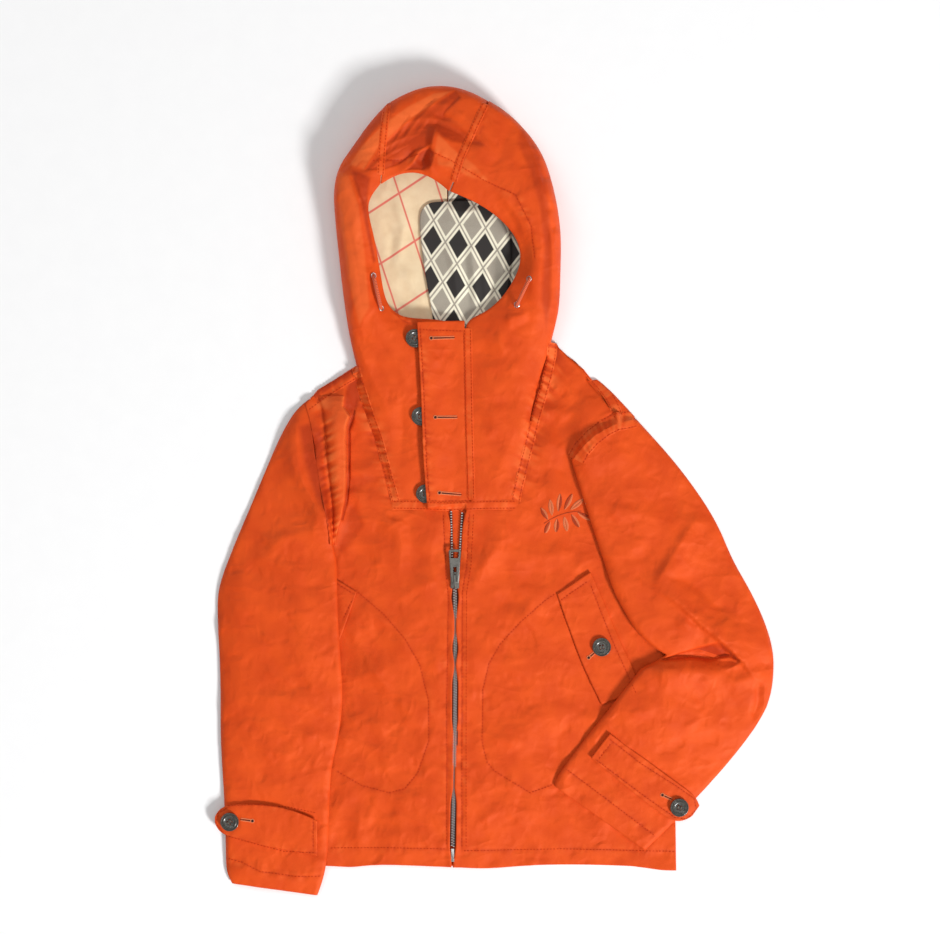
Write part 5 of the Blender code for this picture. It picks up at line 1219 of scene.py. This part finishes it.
# ---- Buttonholes ------------------------------------------------------------------------------
# Keyhole buttonholes worked in peach silk: close stitches across both edges of a cut, and round
# the eye at its end.
BUTTONHOLES = [
    ((431.6, 339.2), (455.2, 338.3)), ((435.6, 417.6), (457.9, 417.4)), ((439.6, 492.6), (461.9, 494.5)),
    ((661.5, 793.4), (671.5, 798.0)), ((253.4, 819.2), (241.0, 817.5)), ((588.4, 657.2), (594.5, 652.0)),
]
SILK_PITCH = 0.62
SILK_REACH = 1.1
CUT_HALF = 0.62
CUT_STEPS = 12
EYE_RADIUS = 1.3
EYE_STITCHES = 16
EYE_SIDES = 14
SILK_RADIUS = 0.34
SILK_LIFT = 0.16
CUT_LIFT = 0.10  # of the cut over the cloth, and of the eye, so that it covers the cut's end
EYE_LIFT = 0.11

silk = mottled("buttonhole_silk", 0.6, (1200, 1200, 1200), (0.66, 0.15, 0.055), (0.86, 0.32, 0.15),
               Specular_IOR_Level=0.2, Specular_Tint=(1, 0.7, 0.5, 1))[0]
# The cut and the eye are a dark sheet of painted shade, as the openings look.
slit_shade = mottled("buttonhole_slit_shade", 0.9, (900, 900, 900), (0.012, 0.003, 0.002), (0.05, 0.008, 0.004))[0]

strokes, coords, faces = [], [], []
for (x0, y0), (x1, y1) in BUTTONHOLES:
    length, ux, uy = heading(x0, y0, x1, y1)
    for k in range(int((length - 2) / SILK_PITCH)):
        x, y = x0 + ux * (2.0 + k * SILK_PITCH), y0 + uy * (2.0 + k * SILK_PITCH)
        for side in (1, -1):
            near, far = CUT_HALF * side, (CUT_HALF + SILK_REACH) * side
            strokes.append((x - uy * near, y + ux * near, x - uy * far, y + ux * far))
    for turn in np.arange(EYE_STITCHES) * 2 * math.pi / EYE_STITCHES:
        cx, cy = math.cos(turn), math.sin(turn)
        near, far = EYE_RADIUS, EYE_RADIUS + 1
        strokes.append((x0 + cx * near, y0 + cy * near, x0 + cx * far, y0 + cy * far))
    eye = [(x0 + (EYE_RADIUS + 0.05) * math.cos(turn), y0 + (EYE_RADIUS + 0.05) * math.sin(turn))
           for turn in np.arange(EYE_SIDES) * 2 * math.pi / EYE_SIDES]
    faces.append(tuple(range(len(coords), len(coords) + len(eye))))
    coords += [at(x, y, (top_at(cloth_trees, x, y) or 0) + EYE_LIFT) for x, y in eye]
    first = len(coords)
    for side in (1, -1):
        for t in np.linspace(0, 1, CUT_STEPS + 1):
            half = CUT_HALF * (1 - 0.6 * t) * side
            x, y = x0 + (x1 - x0) * t - uy * half, y0 + (y1 - y0) * t + ux * half
            coords.append(at(x, y, (top_at(cloth_trees, x, y) or 0) + CUT_LIFT))
    faces += [(k, k + 1, k + CUT_STEPS + 2, k + CUT_STEPS + 1) for k in range(first, first + CUT_STEPS)]
threads("buttonhole_silk", strokes, silk, SILK_RADIUS, SILK_LIFT, sink=0.12)
slit_shades = piece_of("buttonhole_slit_shades", coords, faces, slit_shade)
for polygon in slit_shades.data.polygons:
    if polygon.normal.z < 0:
        polygon.flip()
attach(slit_shades, "jacket")

# ---- Buttons ----------------------------------------------------------------------------------
# Six four-holed buttons, turned from dark imitation horn with a raised rim and a groove inside
# it, and sewn on with two parallel bars of dark thread.
BUTTON_RADIUS = 0.00918
BUTTON_THICK = 0.0028
HOLE_AWAY = 0.0021
HOLE_RADIUS = 0.00105
TURNING = (  # inwards from the button's edge: how far in, how far up
    (0.0007, 0.0), (0.0009, -0.0008), (0.0004, 0.0), (0.0008, 0.0006), (0.0004, 0.0), (0.0010, -0.0008),
    (0.0008, -0.0001))
THREAD_BAR = (0.0019, 0.00055, 0.00035)  # half its length, width and height
THREAD_SEAT = 0.0005  # how deep its middle lies under the button's flat top
RIM_ROUND = 0.00045

horn, shader, add, link, _ = mottled(
    "button_horn", 0.28, (160, 420, 300), (0.018, 0.017, 0.015), (0.13, 0.12, 0.10), 5.0, 1.2, (0.42, 0.66),
    Coat_Weight=0.4, Coat_Roughness=0.15)
bump = add("ShaderNodeBump", [(grained(add, (2500, 2500, 2500)), "Height")], Strength=0.12, Distance=0.0002)
link(bump.outputs["Normal"], shader.inputs["Normal"])
sewing_dark = mottled("button_thread", 0.7, (1500, 1500, 1500), (0.06, 0.05, 0.04), (0.22, 0.18, 0.14))[0]

bpy.ops.mesh.primitive_cylinder_add(vertices=48, radius=BUTTON_RADIUS, depth=BUTTON_THICK, location=(0, 0, 0))
pattern = bpy.context.object
shape = bmesh.new()
shape.from_mesh(pattern.data)
top = max(shape.faces, key=lambda face: face.calc_center_median().z)
for inset, up in TURNING:
    bmesh.ops.inset_region(shape, faces=[top], thickness=inset, depth=0)
    bmesh.ops.translate(shape, verts=top.verts, vec=(0, 0, up))
rim = [e for e in shape.edges if len(e.link_faces) == 2 and e.calc_face_angle(0) > 1.2]
bmesh.ops.bevel(shape, geom=rim, offset=RIM_ROUND, segments=3, profile=0.5, affect="EDGES")
shape.to_mesh(pattern.data)
shape.free()
for k in range(4):
    turn = math.pi / 4 + k * math.pi / 2
    hole = HOLE_AWAY * math.cos(turn), HOLE_AWAY * math.sin(turn), 0
    bpy.ops.mesh.primitive_cylinder_add(vertices=14, radius=HOLE_RADIUS, depth=0.01, location=hole)
    drill = bpy.context.object
    modified(pattern, "BOOLEAN", object=drill, solver="EXACT")
    bpy.data.objects.remove(drill)
pattern.data.materials.append(horn)
bpy.ops.object.shade_smooth_by_angle(angle=0.6)


def lie_of(node):
    """The middle of a flat CAD piece and the direction that its upper face looks in."""
    rows = np.array([v.co[:] for v in nodes[node].data.vertices])
    rows = np.unique(rows.round(6), axis=0)
    middle = rows.mean(axis=0)
    normal = np.linalg.svd(rows - middle)[2][2]
    return Vector(middle), Vector(normal if normal[2] > 0 else -normal)


BUTTON_TURNS = {"front_button_1": 0.4, "front_button_2": 1.0, "front_button_3": 0.1, "pocket_button": 0.15,
                "cuff_button_right": 0.6, "cuff_button_left": 0.5}
for node, turn in BUTTON_TURNS.items():
    middle, normal = lie_of(node)
    button = pattern.copy()
    button.data = pattern.data.copy()
    button.name = f"horn_{node}"
    scene.collection.objects.link(button)
    place = normal.to_track_quat("Z", "Y").to_matrix().to_4x4()
    place.translation = middle
    button.data.transform(place @ Matrix.Rotation(turn, 4, "Z"))
    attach(button, "jacket")
    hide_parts(node)
    sideways = place.to_3x3() @ Vector((math.cos(turn), math.sin(turn), 0))
    upright = normal.cross(sideways)
    bars = []
    for shift in (-1, 1):
        spot = middle + upright * shift * HOLE_AWAY * math.sqrt(0.5) + normal * (BUTTON_THICK / 2 - THREAD_SEAT)
        bpy.ops.mesh.primitive_uv_sphere_add(segments=10, ring_count=6, radius=1, location=(0, 0, 0))
        bars.append(bpy.context.object)
        for vertex in bars[-1].data.vertices:
            x, y, z = (a * size for a, size in zip(vertex.co, THREAD_BAR))
            vertex.co = spot + sideways * x + upright * y + normal * z
    bars[0].select_set(True)
    bpy.ops.object.join()
    bars = bpy.context.object
    bars.name = f"thread_{node}"
    bars.data.materials.append(sewing_dark)
    smoothed(bars)
    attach(bars, "jacket")
bpy.data.objects.remove(pattern)

# ---- Zip --------------------------------------------------------------------------------------
# A metal zip in antique nickel: two rows of stamped teeth on their tapes, a cast slider with its
# bridge, a flat pull with a window, and a bright stop at the hem.
nickel, shader, add, link, tarnish = mottled(
    "antique_nickel", 0.34, (420, 420, 420), (0.10, 0.095, 0.085), (0.34, 0.33, 0.30), 5.0, span=(0.35, 0.7),
    Metallic=1.0)
link(ranged(add, tarnish, 0.3, 0.7, 0.28, 0.5), shader.inputs["Roughness"])
bright, shader, add, link, brushed = mottled(
    "bright_nickel", 0.2, (900, 90, 900), (0.55, 0.55, 0.53), (0.82, 0.81, 0.78), 3.0, Metallic=1.0)
link(ranged(add, brushed, 0.3, 0.7, 0.14, 0.32), shader.inputs["Roughness"])
teeth_nickel = mottled(
    "zip_teeth_nickel", 0.38, (420, 420, 420), (0.58, 0.57, 0.54), (0.86, 0.85, 0.82), 4.0, span=(0.35, 0.7),
    Metallic=0.55)[0]
tape, shader, add, link = finish("zip_tape", 0.8)
ribs = add("ShaderNodeTexWave", [(stretched(add, (1000, 1000, 1000)), "Vector")], Scale=0.5, bands_direction="Y")
link(blended(add, ribs.outputs["Fac"], (0.03, 0.008, 0.005), (0.12, 0.018, 0.008)), shader.inputs["Base Color"])


def edged(node, name, material, width, body):
    """A copy of a metal CAD piece with its sharp edges rounded, riding on its body."""
    made, shape = copy_of(node, name, material)
    bmesh.ops.dissolve_limit(shape, angle_limit=0.02, verts=shape.verts, edges=shape.edges)
    shape.to_mesh(made.data)
    shape.free()
    modified(made, "BEVEL", width=width, segments=2, limit_method="ANGLE", angle_limit=0.6)
    bpy.ops.object.shade_smooth_by_angle(angle=0.7)
    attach(made, body)
    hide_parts(node)


edged("zip_slider", "slider_casting", nickel, 0.00028, "jacket")
edged("zip_pull", "pull_tab_plate", nickel, 0.00022, "pull_tab")
edged("zip_stop", "stop_clip", bright, 0.0003, "jacket")

TOOTH_PITCH = 2.6
CHAINS = {
    "right": (-1, ((451.7, 510.6), (452.4, 548.0), (453.75, 584.0), (454.2, 612.0), (454.0, 700.0),
                   (453.8, 730.0), (452.5, 804.0), (451.6, 847.0))),
    "left": (1, ((461.8, 510.6), (459.5, 548.0), (455.95, 584.0), (456.4, 612.0), (456.2, 700.0),
                 (456.0, 730.0), (454.7, 804.0), (453.8, 847.0))),
}
TOOTH = (1.7, 2.0, 0.85, 1.1)  # length, height, width at the tape and width at the tip
TOOTH_DROP = 0.95  # from the CAD chain's top to a tooth's middle
TAPE_DROP = 1.6  # and to the tape's top
TAPE_CORNERS = ((-1.3, 0), (1.3, 0), (1.3, -0.5), (-1.3, -0.5))
PARTED, MESHED = 0.5, -0.15  # how far a tooth's middle lies outside the chain's line
SLIDER_MOUTH = 572
CHAIN_ENDS = (0.9, 0.8)  # how far the first and the last tooth stay from the chain's ends
CHAIN_TOP = 7.6  # the chain's height where a look from above slips past it

bpy.ops.mesh.primitive_cube_add(size=0.001, location=(0, 0, 0))
tooth = bpy.context.object
for vertex in tooth.data.vertices:
    x, y, z = vertex.co
    vertex.co = x * TOOTH[0], y * (TOOTH[3] if x > 0 else TOOTH[2]), z * TOOTH[1]
modified(tooth, "BEVEL", width=0.00025, segments=1)
tooth_points = points_of(tooth)
tooth_faces = [tuple(p.vertices) for p in tooth.data.polygons]
bpy.data.objects.remove(tooth)


def faced_out(piece):
    """Turns a closed piece's faces outwards."""
    shape = bmesh.new()
    shape.from_mesh(piece.data)
    bmesh.ops.recalc_face_normals(shape, faces=shape.faces)
    shape.to_mesh(piece.data)
    shape.free()


for side, (sign, chain) in CHAINS.items():
    bar = [node_tree(f"zip_chain_{side}")]
    coords, faces, backing = [], [], []
    way = CHAIN_ENDS[0] + (TOOTH_PITCH / 2 if sign > 0 else 0)
    rows = walked(chain, 0.1)
    step = 0
    while way < rows[-1][4] - CHAIN_ENDS[1]:
        while rows[step][4] < way:
            step += 1
        x, y = rows[step][:2]
        up = top_at(bar, x, y) or top_at(bar, x + 0.4, y) or top_at(bar, x - 0.4, y) or CHAIN_TOP
        out = PARTED + (MESHED - PARTED) * float(ease((y - SLIDER_MOUTH) / 18))
        middle = at(x + sign * out, y, up - TOOTH_DROP)
        faces += [tuple(len(coords) + v for v in face) for face in tooth_faces]
        coords += [middle + Vector((-sign * px, py, pz)) for px, py, pz in tooth_points]
        backing.append((x + sign * 0.7, y, up - TAPE_DROP))
        way += TOOTH_PITCH
    teeth = piece_of(f"zip_teeth_{side}", coords, faces, teeth_nickel)
    faced_out(teeth)
    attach(teeth, "jacket")
    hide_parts(f"zip_chain_{side}")
    last = 4 * (len(backing) - 1)
    faces = [(k + i, k + (i + 1) % 4, k + 4 + (i + 1) % 4, k + 4 + i) for k in range(0, last, 4) for i in range(4)]
    faces += [(0, 3, 2, 1), tuple(range(last, last + 4))]
    woven = piece_of(f"zip_tape_{side}", [at(x + dx, y, z + dz) for x, y, z in backing for dx, dz in TAPE_CORNERS],
                     faces, tape)
    faced_out(woven)
    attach(woven, "jacket")

# ---- Eyelets ----------------------------------------------------------------------------------
# Four small rolled eyelets in worn nickel, two at each side of the face, for the cord.
for side in ("right", "left"):
    for level in ("upper", "lower"):
        node = f"eyelet_{side}_{level}"
        ring = dense_copy(node, f"ring_{side}_{level}", 2, bright)
        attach(ring, "jacket")
        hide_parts(node)

# ---- Embroidery -------------------------------------------------------------------------------
# A plain sprig of leaves on the wearer's left chest, worked in satin stitch in peach and russet.
SATIN_PITCH = 0.62
SATIN_SLANT = 1.1
SATIN_LEAST = 0.5
peach, russet = (
    mottled(f"embroidery_{name}", 0.55, (900, 900, 900), *colours, Specular_IOR_Level=0.2,
            Specular_Tint=(1, 0.7, 0.5, 1))[0]
    for name, *colours in (("peach", (0.62, 0.13, 0.045), (0.80, 0.25, 0.11)),
                           ("russet", (0.30, 0.030, 0.010), (0.52, 0.075, 0.025))))
LEAVES = [  # stalk end, tip, half width
    (548, 520, 541, 508, 2.6), (552, 516, 550, 500, 2.8), (558, 512, 560, 494, 2.8), (564, 510, 572, 494, 2.8),
    (570, 510, 583, 499, 2.8), (550, 521, 545, 533, 2.6), (557, 518, 556, 532, 2.8), (564, 516, 567, 531, 2.8),
    (571, 514, 579, 527, 2.8), (577, 512, 591, 520, 2.6),
]
STEM = [(543, 524), (550, 519.5), (558, 515.5), (566, 513), (574, 511.5), (582, 511)]
light_strokes, dark_strokes = [], run_of(STEM, 0, 1.6, 2.0)
for k, (x0, y0, x1, y1, half) in enumerate(LEAVES):
    length, ux, uy = heading(x0, y0, x1, y1)
    for i in range(1, int(length / SATIN_PITCH)):
        t = i * SATIN_PITCH / length
        wide = half * math.sin(math.pi * min(1, t * 1.02)) ** 0.7
        x, y = x0 + (x1 - x0) * t, y0 + (y1 - y0) * t
        for side in (1, -1):
            strokes = light_strokes if (k + (side > 0)) % 3 else dark_strokes
            strokes.append((x, y, x - uy * wide * side + ux * SATIN_SLANT, y + ux * wide * side + uy * SATIN_SLANT))
over = surface_of([cloth["sleeve_left"]])
for name, strokes, material in (
        ("embroidery_leaves", light_strokes, peach), ("embroidery_veins", dark_strokes, russet)):
    bare = [stroke for stroke in strokes if top_at(over, *stroke[:2]) is None and top_at(over, *stroke[2:]) is None
            and heading(*stroke)[0] > SATIN_LEAST]
    threads(name, bare, material, SILK_RADIUS, 0.14, sink=0.2)
